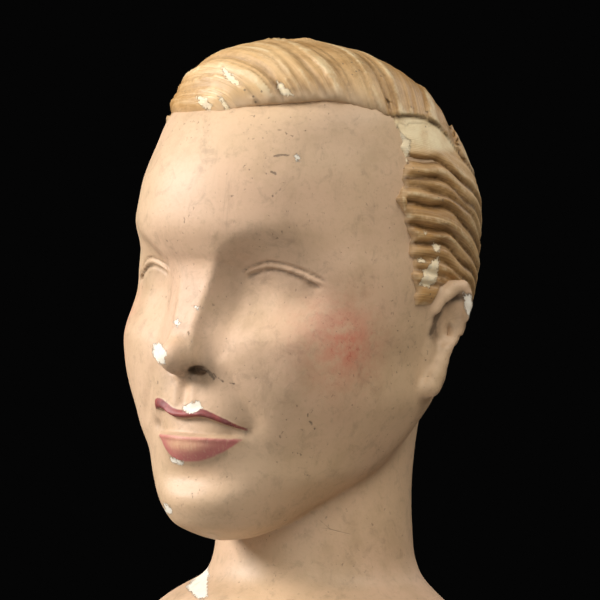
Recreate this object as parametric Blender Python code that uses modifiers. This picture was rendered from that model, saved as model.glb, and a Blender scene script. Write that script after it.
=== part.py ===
"""Full body display mannequin on a rod stand, as separate pieces.

Metres, +Z up. The figure faces -Y, and its left side is +X. The origin is on the floor,
under the centre of the round base. The body is a set of hollow painted castings, cut at the
waist, the left thigh, the shoulders and the wrists. Wooden discs close each cut, and metal
fittings join one casting to the next.
"""

import math

import bmesh
import bpy
from mathutils import Matrix, Vector

# Clearances and walls
GAP = 0.0004
WALL = 0.008
ARM_WALL = 0.006
DISC = 0.012
PLATE = 0.003
BLOCK = 0.016

# Stand
FELT = 0.003
BASE_RADIUS = 0.225
BASE_TOP = 0.014
BASE_EDGE = 0.006
ROD_RADIUS = 0.006
ROD_TOP = 0.300
ROD_X = -0.095
ROD_Y = 0.055
HUB_RADIUS = 0.020
HUB_TOP = 0.029
FLANGE_RADIUS = 0.034
FLANGE_TOP = 0.018
CLAMP_Z = 0.0235

# Joint planes and axes
WAIST_Z = 1.115
WAIST_Y = 0.030
THIGH_Z = 0.770
WRIST_Z = 0.933
SHOULDER_X = 0.158
SHOULDER_Y = 0.040
SHOULDER_Z = 1.475
SHOULDER_RADIUS = 0.050
PLATE_FACE = SHOULDER_X - GAP - 0.001
WAIST_OVAL = (0.120, 0.086, 0.084)

# Turns of the two bayonet fittings
TURN = math.radians(20)
PIN_RADIUS = 0.003
WAIST_SHANK = 0.012
THIGH_SHANK = 0.010
WAIST_DEPTH = 0.052
THIGH_DEPTH = 0.046
SHANK_HOLE = 0.0015

# Wood screws: radii of the head and shank, height of the countersink, and length
SCREW_HEAD = 0.0040
SCREW_SHANK = 0.0018
SCREW_CONE = 0.0024
SCREW_LENGTH = 0.012

# Shoulder stud, its keyhole, and the wrist peg
STUD_NECK = 0.0058
STUD_HEAD = 0.0105
STUD_FLANGE = 0.020
STUD_HEAD_THICK = 0.004
KEYHOLE_NECK = 0.0063
KEYHOLE_HEAD = 0.0125
KEYHOLE_RISE = 0.022
PLATE_SCREWS = 0.031
PEG_RADIUS = 0.0046
PEG_HOLE = 0.0050

# Each station of an upright casting: z, centre x, centre y, half width, depth in front, depth behind
CHEST = [
    (1.110, 0, 0.030, 0.120, 0.086, 0.084),
    (1.160, 0, 0.029, 0.124, 0.090, 0.086),
    (1.240, 0, 0.028, 0.138, 0.100, 0.090),
    (1.320, 0, 0.028, 0.149, 0.107, 0.092),
    (1.380, 0, 0.030, 0.152, 0.103, 0.090),
    (1.430, 0, 0.032, 0.155, 0.095, 0.087),
    (1.468, 0, 0.035, 0.155, 0.082, 0.078),
    (1.500, 0, 0.040, 0.151, 0.068, 0.068),
    (1.522, 0, 0.041, 0.141, 0.063, 0.061),
    (1.548, 0, 0.040, 0.119, 0.065, 0.055),
    (1.572, 0, 0.038, 0.094, 0.067, 0.050),
    (1.587, 0, 0.036, 0.072, 0.065, 0.046),
    (1.600, 0, 0.036, 0.054, 0.055, 0.045),
]
HEAD = [
    (1.612, 0, 0.036, 0.047, 0.047, 0.048),
    (1.622, 0, 0.034, 0.050, 0.078, 0.050),
    (1.632, 0, 0.032, 0.054, 0.090, 0.054),
    (1.665, 0, 0.030, 0.064, 0.098, 0.062),
    (1.690, 0, 0.030, 0.068, 0.100, 0.076),
    (1.698, 0, 0.030, 0.070, 0.114, 0.082),
    (1.720, 0, 0.030, 0.073, 0.103, 0.092),
    (1.745, 0, 0.030, 0.076, 0.090, 0.097),
    (1.775, 0, 0.031, 0.077, 0.088, 0.096),
    (1.800, 0, 0.033, 0.072, 0.080, 0.088),
    (1.825, 0, 0.036, 0.056, 0.062, 0.068),
    (1.842, 0, 0.038, 0.034, 0.038, 0.042),
    (1.850, 0, 0.040, 0.010, 0.011, 0.012),
]
SKULL_HOLLOW = [
    (1.640, 0, 0.036, 0.038, 0.040, 0.040),
    (1.680, 0, 0.032, 0.054, 0.072, 0.062),
    (1.740, 0, 0.032, 0.066, 0.076, 0.084),
    (1.790, 0, 0.034, 0.062, 0.068, 0.078),
    (1.825, 0, 0.037, 0.036, 0.040, 0.045),
    (1.836, 0, 0.038, 0.010, 0.011, 0.012),
]
PELVIS = [
    (0.845, 0, 0.036, 0.040, 0.030, 0.040),
    (0.865, 0, 0.034, 0.120, 0.066, 0.080),
    (0.900, 0, 0.033, 0.153, 0.086, 0.100),
    (0.940, 0, 0.032, 0.158, 0.090, 0.104),
    (1.000, 0, 0.031, 0.148, 0.090, 0.098),
    (1.060, 0, 0.030, 0.131, 0.087, 0.088),
    (1.120, 0, 0.030, 0.120, 0.086, 0.084),
]
LEG_SHAPE = [
    (0.915, 0.074, 0.078, 0.082),
    (0.860, 0.075, 0.080, 0.080),
    (0.770, 0.072, 0.075, 0.075),
    (0.680, 0.062, 0.068, 0.066),
    (0.600, 0.053, 0.058, 0.056),
    (0.535, 0.048, 0.053, 0.047),
    (0.480, 0.045, 0.047, 0.048),
    (0.410, 0.049, 0.045, 0.061),
    (0.350, 0.048, 0.043, 0.060),
    (0.270, 0.038, 0.037, 0.048),
    (0.190, 0.028, 0.031, 0.037),
    (0.130, 0.026, 0.030, 0.035),
    (0.095, 0.030, 0.034, 0.038),
    (0.070, 0.028, 0.034, 0.036),
]
# Where a leg's axis runs: z, x, y
RIGHT_LEG_AXIS = [(0.915, -0.080, 0.034), (0.535, -0.092, 0.036), (0.070, -0.095, 0.055)]
LEFT_LEG_AXIS = [(0.915, 0.080, 0.034), (0.770, 0.086, 0.024), (0.535, 0.098, 0.004), (0.070, 0.112, 0.022)]
# A foot's sections, from heel to toe: y from the ankle, x from it on the left foot, half width, sole, top
FOOT = [
    (0.049, 0.000, 0.014, 0.046, 0.074),
    (0.040, 0.000, 0.026, 0.036, 0.092),
    (0.015, 0.000, 0.031, 0.034, 0.104),
    (-0.020, 0.001, 0.031, 0.034, 0.106),
    (-0.060, 0.003, 0.034, 0.030, 0.086),
    (-0.100, 0.004, 0.040, 0.021, 0.064),
    (-0.140, 0.003, 0.046, 0.0165, 0.048),
    (-0.172, 0.000, 0.045, 0.0160, 0.040),
    (-0.195, -0.004, 0.036, 0.0165, 0.035),
    (-0.206, -0.008, 0.020, 0.0190, 0.030),
]
# The left arm from the shoulder's crown to the wrist
ARM = [
    (1.534, 0.186, 0.040, 0.012, 0.015, 0.015),
    (1.525, 0.188, 0.040, 0.030, 0.036, 0.034),
    (1.503, 0.190, 0.040, 0.043, 0.048, 0.046),
    (1.468, 0.192, 0.040, 0.046, 0.051, 0.049),
    (1.418, 0.197, 0.041, 0.043, 0.049, 0.047),
    (1.348, 0.205, 0.043, 0.038, 0.044, 0.043),
    (1.268, 0.215, 0.045, 0.035, 0.040, 0.041),
    (1.198, 0.224, 0.044, 0.034, 0.038, 0.041),
    (1.138, 0.233, 0.037, 0.036, 0.040, 0.041),
    (1.068, 0.244, 0.026, 0.032, 0.036, 0.036),
    (0.998, 0.254, 0.014, 0.026, 0.031, 0.030),
    (0.933, 0.262, 0.004, 0.021, 0.029, 0.028),
]
# The left hand's palm, from its wrist plane
PALM = [
    (0.0, 0.000, 0.000, 0.021, 0.029, 0.028),
    (-0.022, 0.001, 0.000, 0.019, 0.031, 0.028),
    (-0.050, 0.003, -0.001, 0.017, 0.039, 0.036),
    (-0.080, 0.003, -0.001, 0.014, 0.041, 0.038),
    (-0.096, 0.001, 0.000, 0.011, 0.037, 0.035),
]
# Each finger: its path from the palm's frame and the radius at its root and tip
FINGERS = [
    ([(0.002, -0.029, -0.080), (-0.001, -0.032, -0.122), (-0.013, -0.032, -0.160)], 0.0100, 0.0068),
    ([(0.002, -0.010, -0.080), (-0.003, -0.011, -0.128), (-0.018, -0.010, -0.168)], 0.0100, 0.0070),
    ([(0.002, 0.010, -0.080), (-0.006, 0.010, -0.125), (-0.023, 0.010, -0.160)], 0.0097, 0.0067),
    ([(0.002, 0.028, -0.078), (-0.008, 0.030, -0.113), (-0.023, 0.030, -0.140)], 0.0088, 0.0060),
    ([(-0.002, -0.024, -0.030), (-0.012, -0.046, -0.065), (-0.020, -0.052, -0.104)], 0.0135, 0.0078),
]


def clear_scene():
    for obj in list(bpy.data.objects):
        bpy.data.objects.remove(obj)


def collection(name):
    made = bpy.data.collections.new(name)
    bpy.context.scene.collection.children.link(made)
    return made


def material(name, colour, roughness, metallic=0.0):
    made = bpy.data.materials.new(name)
    made.use_nodes = True
    shader = made.node_tree.nodes["Principled BSDF"]
    shader.inputs["Base Color"].default_value = (*colour, 1)
    shader.inputs["Roughness"].default_value = roughness
    shader.inputs["Metallic"].default_value = metallic
    return made


clear_scene()
FIGURE = collection("full_body_mannequin")
CUTTERS = collection("cutters")
SKIN = material("skin_paint", (0.62, 0.44, 0.29), 0.45)
WOOD = material("wood", (0.45, 0.30, 0.16), 0.65)
STEEL = material("steel", (0.55, 0.55, 0.56), 0.35, 1.0)
IRON = material("base_enamel", (0.05, 0.045, 0.04), 0.4)
BLACK_FELT = material("felt", (0.03, 0.05, 0.03), 0.95)


def place(name, mesh, finish, target=None):
    obj = bpy.data.objects.new(name, mesh)
    (target or FIGURE).objects.link(obj)
    if finish:
        mesh.materials.clear()
        mesh.materials.append(finish)
    return obj


def helper(obj):
    """Turns an object into a cutter, which isn't part of the figure."""
    for holder in list(obj.users_collection):
        holder.objects.unlink(obj)
    CUTTERS.objects.link(obj)
    obj.hide_render = True
    obj.display_type = "WIRE"
    return obj


def settle(obj):
    """Replaces an object's mesh by what its modifiers make of it."""
    graph = bpy.context.evaluated_depsgraph_get()
    made = bpy.data.meshes.new_from_object(obj.evaluated_get(graph))
    obj.modifiers.clear()
    obj.data = made
    return obj


def combine(obj, other, operation):
    """Applies one Boolean and drops the other object."""
    boolean = obj.modifiers.new(operation.lower(), "BOOLEAN")
    boolean.operation = operation
    boolean.object = helper(other)
    settle(obj)
    bpy.data.objects.remove(other)
    return obj


def join(obj, *others):
    for other in others:
        combine(obj, other, "UNION")
    return obj


def cut(obj, *others):
    for other in others:
        combine(obj, other, "DIFFERENCE")
    return obj


def smooth_stations(stations, per_span):
    """More stations between the given ones, on a Catmull-Rom curve through them."""
    ends = [stations[0], *stations, stations[-1]]
    found = []
    for i in range(1, len(ends) - 2):
        before, here, after, beyond = ends[i - 1 : i + 3]
        for k in range(per_span):
            t = k / per_span
            station = []
            for a, b, c, d in zip(before, here, after, beyond):
                bend = (2 * a - 5 * b + 4 * c - d) * t**2 + (3 * b - a - 3 * c + d) * t**3
                station.append(0.5 * (2 * b + (c - a) * t + bend))
            found.append(tuple(station))
    found.append(tuple(stations[-1]))
    return found


def oval(centre, across, forward, half_width, front, back, sides):
    """Points round an oval whose front and back depths differ."""
    points = []
    for k in range(sides):
        angle = 2 * math.pi * k / sides
        depth = front if math.sin(angle) < 0 else back
        points.append(centre + across * (half_width * math.cos(angle)) + forward * (depth * math.sin(angle)))
    return points


def loft(name, rings, finish=None):
    """One closed body through rings of equal point count, with flat ends."""
    mesh = bpy.data.meshes.new(name)
    shape = bmesh.new()
    rows = [[shape.verts.new(p) for p in ring] for ring in rings]
    for lower, upper in zip(rows, rows[1:]):
        for k in range(len(lower)):
            n = (k + 1) % len(lower)
            shape.faces.new((lower[k], lower[n], upper[n], upper[k]))
    shape.faces.new(rows[0])
    shape.faces.new(rows[-1])
    bmesh.ops.recalc_face_normals(shape, faces=shape.faces)
    shape.to_mesh(mesh)
    shape.free()
    return place(name, mesh, finish)


def upright(name, stations, sides, per_span=2, inset=0.0, finish=None):
    """A loft through level ovals. An inset makes the hollow of a casting."""
    rings = [
        oval(Vector((x, y, z)), Vector((1, 0, 0)), Vector((0, 1, 0)), w - inset, f - inset, b - inset, sides)
        for z, x, y, w, f, b in smooth_stations(stations, per_span)
    ]
    return loft(name, rings, finish)


def box(name, low, high):
    mesh = bpy.data.meshes.new(name)
    shape = bmesh.new()
    bmesh.ops.create_cube(shape, size=1)
    low, high = Vector(low), Vector(high)
    for vert in shape.verts:
        vert.co = Vector(low[k] + (vert.co[k] + 0.5) * (high[k] - low[k]) for k in range(3))
    shape.to_mesh(mesh)
    shape.free()
    return place(name, mesh, None)


def turned(name, profile, centre, finish=None, direction=(0, 0, 1), sides=32, start=0.0):
    """A profile of (radius, height) turned about direction. It runs down the outer side."""
    closed = profile[0][0] > 0 and profile[-1][0] > 0
    mesh = bpy.data.meshes.new(name)
    edges = [(i, i + 1) for i in range(len(profile) - 1)]
    if closed:
        edges.append((len(profile) - 1, 0))
    mesh.from_pydata([(r, 0, h) for r, h in profile], edges, [])
    obj = place(name, mesh, None)
    screw = obj.modifiers.new("turn", "SCREW")
    screw.steps = screw.render_steps = sides
    screw.use_merge_vertices = True
    screw.merge_threshold = 0.00001
    settle(obj)
    turn = Vector((0, 0, 1)).rotation_difference(Vector(direction)).to_matrix().to_4x4()
    obj.data.transform(Matrix.Translation(centre) @ turn @ Matrix.Rotation(start, 4, "Z"))
    if finish:
        obj.data.materials.append(finish)
    obj.data.shade_smooth()
    obj.data.set_sharp_from_angle(angle=math.radians(35))
    return obj


def rod(name, radius, low, high, centre, finish=None, direction=(0, 0, 1), sides=32):
    profile = [(0, high), (radius, high), (radius, low), (0, low)]
    return turned(name, profile, centre, finish, direction, sides)


def along(axis, z):
    """Centre of a leg at height z, on straight runs between the points of its axis."""
    for (high, x0, y0), (low, x1, y1) in zip(axis, axis[1:]):
        if z >= low:
            t = (high - z) / (high - low)
            return x0 + (x1 - x0) * t, y0 + (y1 - y0) * t
    return axis[-1][1:]


def leg_stations(axis, top, bottom):
    """The leg's stations between two heights, with one at each of them."""
    shape = LEG_SHAPE
    heights = [top, *[s[0] for s in shape if bottom < s[0] < top], bottom]
    found = []
    for z in heights:
        upper = min((s for s in shape if s[0] >= z), default=shape[0], key=lambda s: s[0])
        lower = max((s for s in shape if s[0] <= z), default=shape[-1], key=lambda s: s[0])
        span = upper[0] - lower[0]
        t = (upper[0] - z) / span if span else 0
        w, f, b = (upper[k] + (lower[k] - upper[k]) * t for k in (1, 2, 3))
        found.append((z, *along(axis, z), w, f, b))
    return found


def between(stations, top, bottom):
    """A casting's own stations from one height down to another, ends included."""
    falling = sorted(stations, reverse=True)
    found = []
    for z in [top, *[s[0] for s in falling if bottom < s[0] < top], bottom]:
        for upper, lower in zip(falling, falling[1:]):
            if lower[0] <= z <= upper[0]:
                t = (upper[0] - z) / (upper[0] - lower[0])
                found.append(tuple(u + (v - u) * t for u, v in zip(upper, lower)))
                break
    return found


def foot(name, ankle, side, inset=0.0):
    """A foot as a loft from heel to toe. side is 1 for the left foot and -1 for the right."""
    rings = []
    for y, x, w, sole, top in smooth_stations(FOOT, 1):
        centre = Vector((ankle[0] + side * x, ankle[1] + y, (sole + top) / 2))
        rise = (top - sole) / 2 - inset
        rings.append(oval(centre, Vector((1, 0, 0)), Vector((0, 0, 1)), w - inset, rise, rise, 12))
    return loft(name, rings)


def waist_disc(name, z_low, z_high):
    """A wooden disc that closes a casting at the waist, with a hole for the fitting."""
    w, f, b = (half - WALL - GAP for half in WAIST_OVAL)
    centres = [Vector((0, WAIST_Y, z)) for z in (z_low, z_high)]
    rings = [oval(c, Vector((1, 0, 0)), Vector((0, 1, 0)), w, f, b, 24) for c in centres]
    made = loft(name, rings, WOOD)
    return cut(made, rod("hole", WAIST_SHANK + SHANK_HOLE, z_low - 0.01, z_high + 0.01, (0, WAIST_Y, 0)))


def screw(name, centre, direction):
    """A slotted countersunk wood screw, its head's face at centre and its tip against direction."""
    head, shank, length = SCREW_HEAD, SCREW_SHANK, SCREW_LENGTH
    profile = [(0, 0), (head, 0), (shank, -SCREW_CONE), (shank, 2 * shank - length), (0, -length)]
    made = turned(name, profile, (0, 0, 0), STEEL, sides=8)
    cut(made, box("slot", (-2 * head, -0.0005, -0.0009), (2 * head, 0.0005, 0.01)))
    turn = Vector((0, 0, 1)).rotation_difference(Vector(direction)).to_matrix().to_4x4()
    made.data.transform(Matrix.Translation(centre) @ turn)
    return made


def screw_hole(obj, centre, direction):
    """Clears the screw's space, with the usual gap round it."""
    head, shank, length = SCREW_HEAD + GAP, SCREW_SHANK + GAP, SCREW_LENGTH + GAP
    cone = SCREW_CONE + GAP
    profile = [(0, 0.01), (head, 0.01), (head, -GAP), (shank, -cone), (shank, -length), (0, -length)]
    return cut(obj, turned("screw_hole", profile, centre, None, direction, 8))


def sector(name, centre, inner, outer, low, high, first, last):
    """Part of a ring, between two radii, two heights and two angles."""
    rings = []
    for step in range(5):
        angle = first + (last - first) * step / 4
        out = Vector((math.cos(angle), math.sin(angle), 0))
        corners = ((inner, low), (outer, low), (outer, high), (inner, high))
        rings.append([Vector((*centre, 0)) + out * r + Vector((0, 0, z)) for r, z in corners])
    return loft(name, rings)


def slot_cutters(centre, pin_z, radius, reach, opening):
    """Cutters for a bayonet socket: two level runs that the pin turns through, and their ways out."""
    half = PIN_RADIUS + GAP
    spread = math.asin(half / radius) + 0.01
    low, high = sorted((pin_z, opening))
    made = []
    for side in (0, math.pi):
        first, last = side - spread, side + TURN + spread
        made.append(sector("run", centre, radius * 0.6, reach, pin_z - half, pin_z + half, first, last))
        entry = last - 2 * spread
        made.append(sector("way", centre, radius * 0.5, reach + 0.001, low, high, entry, last + 0.002))
    return made


def bayonet(prefix, centre, plane, up, radius, length):
    """Spigot, cross pin and socket of a twist fitting. The spigot's flange lies behind its disc,
    on the side that up points to, and the shank runs through both discs into the socket."""
    flange = radius + 0.020
    behind = plane + up * (DISC + 2 * GAP)
    tip = plane - up * length
    pin_z = plane - up * (length - 0.012)

    back = behind + up * PLATE
    spigot_profile = [(0, back), (flange, back), (flange, behind), (radius, behind), (radius, tip), (0, tip)]
    if up < 0:
        spigot_profile = spigot_profile[::-1]
    spigot = turned(prefix + "_spigot", spigot_profile, (*centre, 0), STEEL, sides=24)
    cut(spigot, rod("pin_hole", PIN_RADIUS + GAP / 2, -0.1, 0.1, (*centre, pin_z), None, (1, 0, 0), 16))
    pin_reach = radius + 0.0035
    at = (*centre, pin_z)
    pin = rod(prefix + "_cross_pin", PIN_RADIUS, -pin_reach, pin_reach, at, STEEL, (1, 0, 0), 12)

    bore, outer = radius + 2 * GAP, radius + 0.006
    top = plane - up * (DISC + 2 * GAP)
    under = top - up * PLATE
    end = plane - up * (length + 0.008)
    socket_profile = [(flange, top), (flange, under), (outer, under), (outer, end), (bore, end), (bore, top)]
    if up < 0:
        socket_profile = socket_profile[::-1]
    socket = turned(prefix + "_socket", socket_profile, (*centre, 0), STEEL, sides=24)
    cut(socket, *slot_cutters(centre, pin_z, radius, outer + 0.004, top + up * 0.01))
    return spigot, pin, socket


def flange_screws(prefix, owner_disc, flange, centre, face, up):
    """Two screws through a fitting's flange into its disc, one in front and one behind."""
    radius = 2 * WAIST_SHANK
    made = []
    for k in range(2):
        angle = math.pi * (k + 0.5)
        at = Vector((centre[0] + radius * math.cos(angle), centre[1] + radius * math.sin(angle), face))
        screw_hole(flange, at, (0, 0, up))
        screw_hole(owner_disc, at, (0, 0, up))
        made.append(screw(f"{prefix}_screw_{k + 1}", at, (0, 0, up)))
    return made


def make_stand():
    felt = rod("felt_pad", BASE_RADIUS - 0.006, 0, FELT, (0, 0, 0), BLACK_FELT, sides=48)
    low = FELT + GAP
    shoulder = BASE_TOP - BASE_EDGE
    edge = [
        (BASE_RADIUS - BASE_EDGE * (1 - math.sin(a)), shoulder + BASE_EDGE * math.cos(a))
        for a in (math.radians(d) for d in (0, 30, 60, 90))
    ]
    base_profile = [(0, BASE_TOP), *edge, (BASE_RADIUS, low), (0, low)]
    base = turned("base_plate", base_profile, (0, 0, 0), IRON, sides=48)
    seat = BASE_TOP + GAP
    bore = ROD_RADIUS + 0.0003
    hub_edge = 0.002
    flange = turned(
        "rod_flange",
        [
            (bore, HUB_TOP),
            (HUB_RADIUS - hub_edge, HUB_TOP),
            (HUB_RADIUS, HUB_TOP - hub_edge),
            (HUB_RADIUS, FLANGE_TOP),
            (FLANGE_RADIUS, FLANGE_TOP),
            (FLANGE_RADIUS, seat),
            (bore, seat),
        ],
        (ROD_X, ROD_Y, 0),
        STEEL,
        sides=24,
    )
    rod_made = rod("stand_rod", ROD_RADIUS, seat, ROD_TOP, (ROD_X, ROD_Y, 0), STEEL, sides=24)
    clamp = turned(
        "clamp_screw",
        [
            (0, 0.066),
            (0.0066, 0.066),
            (0.0074, 0.065),
            (0.0074, 0.057),
            (0.0030, 0.0565),
            (0.0030, ROD_RADIUS + GAP),
            (0, ROD_RADIUS + GAP),
        ],
        (ROD_X, ROD_Y, CLAMP_Z),
        STEEL,
        (0, 1, 0),
        24,
    )
    cut(flange, rod("clamp_hole", 0.0034, 0, 0.05, (ROD_X, ROD_Y, CLAMP_Z), None, (0, 1, 0), 16))
    screws = []
    for k in range(3):
        angle = math.radians(210 + 120 * k)
        at = Vector((ROD_X + 0.027 * math.cos(angle), ROD_Y + 0.027 * math.sin(angle), FLANGE_TOP))
        screw_hole(flange, at, (0, 0, 1))
        screw_hole(base, at, (0, 0, 1))
        screws.append(screw(f"flange_screw_{k + 1}", at, (0, 0, 1)))
    return [felt, base, flange, rod_made, *screws], [clamp]


def thigh_disc(name, top, bottom):
    """A wooden disc that closes the left leg at its cut, with a hole for the fitting."""
    made = upright(name, leg_stations(LEFT_LEG_AXIS, top, bottom), 12, 1, WALL + GAP, WOOD)
    centre = (*along(LEFT_LEG_AXIS, THIGH_Z), 0)
    return cut(made, rod("hole", THIGH_SHANK + SHANK_HOLE, 0.7, 0.9, centre, sides=24))


def make_lower_body():
    cut_z = WAIST_Z - GAP
    pelvis = upright("pelvis_and_right_leg_shell", PELVIS, 24, 1, finish=SKIN)
    join(
        pelvis,
        upright("right_leg", leg_stations(RIGHT_LEG_AXIS, 0.915, 0.080), 16, 1),
        foot("right_foot", (ROD_X, ROD_Y), -1),
        upright("left_stub", leg_stations(LEFT_LEG_AXIS, 0.915, THIGH_Z + GAP), 16, 1),
    )
    cut(pelvis, box("above", (-0.3, -0.3, cut_z), (0.3, 0.3, 1.3)))
    hollow_top = [s for s in PELVIS if s[0] > 0.85]
    cut(
        pelvis,
        upright("pelvis_hollow", hollow_top, 24, 1, WALL),
        upright("right_hollow", leg_stations(RIGHT_LEG_AXIS, 0.900, 0.310), 12, 1, WALL),
        upright("left_hollow", leg_stations(LEFT_LEG_AXIS, 0.900, THIGH_Z - 0.01), 12, 1, WALL),
    )
    cut(pelvis, rod("rod_way", ROD_RADIUS + 0.0036, 0, 0.32, (ROD_X, ROD_Y, 0), None, sides=20))

    tube_in, tube_out = ROD_RADIUS + 0.0005, ROD_RADIUS + 0.0030
    sole = 0.0345
    stop = ROD_TOP + GAP
    top = stop + 0.004
    tube = turned(
        "rod_tube",
        [(0, top), (tube_out, top), (tube_out, sole), (tube_in, sole), (tube_in, stop), (0, stop)],
        (ROD_X, ROD_Y, 0),
        STEEL,
        sides=24,
    )
    waist = waist_disc("waist_disc_lower", cut_z - DISC, cut_z)
    thigh = thigh_disc("thigh_disc_upper", THIGH_Z + GAP + DISC, THIGH_Z + GAP)
    return [pelvis, tube, waist, thigh]


def make_left_leg():
    cut_z = THIGH_Z - GAP
    ankle = along(LEFT_LEG_AXIS, 0.070)
    shell = upright("left_leg_shell", leg_stations(LEFT_LEG_AXIS, cut_z, 0.080), 16, 1, finish=SKIN)
    join(shell, foot("left_foot", ankle, 1))
    inner = leg_stations(LEFT_LEG_AXIS, cut_z, 0.200)
    open_top = (THIGH_Z + 0.01, *inner[0][1:])
    cut(shell, upright("leg_hollow", [open_top, *inner], 12, 1, WALL))
    lid = thigh_disc("thigh_disc_lower", cut_z, cut_z - DISC)
    return [shell, lid]


def shoulder_stub(name, side, inset=0.0, reach=0.0):
    """The round root that a shoulder's cut runs through."""
    rings = []
    for x, y, z, r in (
        (0.060, 0.038, 1.480, 0.044),
        (0.105, 0.039, 1.477, 0.048),
        (0.132, SHOULDER_Y, SHOULDER_Z, SHOULDER_RADIUS),
        (SHOULDER_X - GAP + reach, SHOULDER_Y, SHOULDER_Z, SHOULDER_RADIUS),
    ):
        centre = Vector((side * x, y, z))
        rings.append(oval(centre, Vector((0, 1, 0)), Vector((0, 0, 1)), r - inset, r - inset, r - inset, 24))
    return loft(name, rings)


def make_bust():
    cut_z = WAIST_Z + GAP
    bust = upright("bust_shell", [*CHEST, *HEAD], 26, 1, finish=SKIN)
    join(bust, *[shoulder_stub("stub", side) for side in (1, -1)])
    cut(bust, box("below", (-0.3, -0.3, 1.0), (0.3, 0.3, cut_z)))
    open_waist = (1.090, *CHEST[0][1:])
    neck_base = (1.610, 0, 0.036, 0.046, 0.044, 0.046)
    trunk = [s for s in CHEST if 1.11 < s[0] < 1.60]
    cut(bust, upright("trunk_hollow", [open_waist, *trunk, neck_base], 24, 1, WALL))
    neck_way = (1.600, 0, 0.036, 0.036, 0.036, 0.037)
    cut(bust, upright("skull_hollow", [neck_way, *SKULL_HOLLOW], 20, 1))
    cut(bust, *[shoulder_stub("stub_hollow", side, WALL, 0.01) for side in (1, -1)])

    lid = waist_disc("waist_disc_upper", cut_z, cut_z + DISC)
    return [bust, lid]


def keyhole(name, side, neck, head, rise):
    """Cutter for a keyhole whose round entry lies above its seat. Equal radii make it a slot."""
    meets = math.asin(neck / head)
    lower = [math.pi + math.pi * k / 8 for k in range(9)]
    upper = [meets - math.pi / 2 + (2 * math.pi - 2 * meets) * k / 12 for k in range(13)]
    outline = [(neck * math.cos(a), neck * math.sin(a)) for a in lower]
    outline += [(head * math.cos(a), rise + head * math.sin(a)) for a in upper]
    rings = []
    for x in (0.10, 0.20):
        rings.append([Vector((side * x, SHOULDER_Y + y, SHOULDER_Z + z)) for y, z in outline])
    return loft(name, rings)


def make_shoulder(name, side):
    """A wooden block in the shoulder's opening, and the keyhole plate that the arm hangs on."""
    across = (side, 0, 0)
    radius = SHOULDER_RADIUS - WALL - 2 * GAP
    block_face = PLATE_FACE - PLATE - GAP
    centre = Vector((0, SHOULDER_Y, SHOULDER_Z))
    block_back = block_face - BLOCK
    block = rod(f"{name}_shoulder_block", radius - 0.001, block_back, block_face, centre, WOOD, across, 24)
    plate_back = PLATE_FACE - PLATE
    plate = rod(f"{name}_shoulder_plate", radius, plate_back, PLATE_FACE, centre, STEEL, across, 24)
    pocket = KEYHOLE_HEAD + 0.0005
    cut(plate, keyhole("keyhole", side, KEYHOLE_NECK, KEYHOLE_HEAD, KEYHOLE_RISE))
    cut(block, keyhole("pocket", side, pocket, pocket, KEYHOLE_RISE))
    screws = []
    for k in range(2):
        angle = math.radians(215 + 110 * k)
        across_plate = (side * PLATE_FACE, PLATE_SCREWS * math.cos(angle), PLATE_SCREWS * math.sin(angle))
        at = centre + Vector(across_plate)
        screw_hole(plate, at, across)
        screw_hole(block, at, across)
        screws.append(screw(f"{name}_plate_screw_{k + 1}", at, across))
    return [block, plate, *screws]


def mirrored(obj, side):
    """Carries a piece made for the left side over to the right."""
    if side < 0:
        obj.data.transform(Matrix.Scale(-1, 4, (1, 0, 0)))
        obj.data.flip_normals()
    return obj


def make_arm(name, side):
    cut_x = SHOULDER_X + GAP
    shell = upright(f"{name}_arm_shell", ARM, 16, 1, finish=SKIN)
    root = [(cut_x, SHOULDER_RADIUS), (0.176, SHOULDER_RADIUS), (0.188, SHOULDER_RADIUS - 0.004)]
    join(shell, arm_root("root", root))
    cut(shell, box("inside", (0.05, -0.2, 1.2), (cut_x, 0.3, 1.6)))
    inner = [s for s in ARM if s[0] < 1.518]
    low = inner[-1]
    cut(
        shell,
        upright("arm_hollow", [*inner, (low[0] - 0.01, *low[1:])], 12, 1, ARM_WALL),
        arm_root("root_hollow", [(cut_x - 0.01, SHOULDER_RADIUS - WALL), (0.186, SHOULDER_RADIUS - WALL)]),
    )
    centre = (0, SHOULDER_Y, SHOULDER_Z)
    radius = SHOULDER_RADIUS - WALL - 2 * GAP
    lid = rod(f"{name}_arm_disc", radius, cut_x, cut_x + DISC, centre, WOOD, (1, 0, 0), 24)
    cut(lid, rod("stud_hole", STUD_NECK + GAP, 0.1, 0.3, centre, None, (1, 0, 0), 16))
    flange_face = cut_x + DISC + GAP
    head_top = PLATE_FACE - PLATE - 2 * GAP
    stud = turned(
        f"{name}_arm_stud",
        [
            (0, flange_face + PLATE),
            (STUD_FLANGE, flange_face + PLATE),
            (STUD_FLANGE, flange_face),
            (STUD_NECK, flange_face),
            (STUD_NECK, head_top),
            (STUD_HEAD, head_top),
            (STUD_HEAD, head_top - STUD_HEAD_THICK),
            (0, head_top - STUD_HEAD_THICK),
        ],
        centre,
        STEEL,
        (1, 0, 0),
        24,
    )
    ends = between(ARM, WRIST_Z + 0.020, WRIST_Z + GAP)
    plug = upright(f"{name}_wrist_plug", ends, 12, 1, ARM_WALL + GAP, WOOD)
    cut(plug, rod("peg_hole", PEG_HOLE, 0.8, 1.0, (ARM[-1][1], ARM[-1][2], 0), None, sides=16))
    cut(shell, box("below_wrist", (0.2, -0.1, 0.8), (0.35, 0.1, WRIST_Z + GAP)))
    return [mirrored(o, side) for o in (shell, lid, stud, plug)]


def arm_root(name, spans):
    rings = []
    for x, r in spans:
        centre = Vector((x, SHOULDER_Y, SHOULDER_Z))
        rings.append(oval(centre, Vector((0, 1, 0)), Vector((0, 0, 1)), r, r, r, 24))
    return loft(name, rings)


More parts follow.
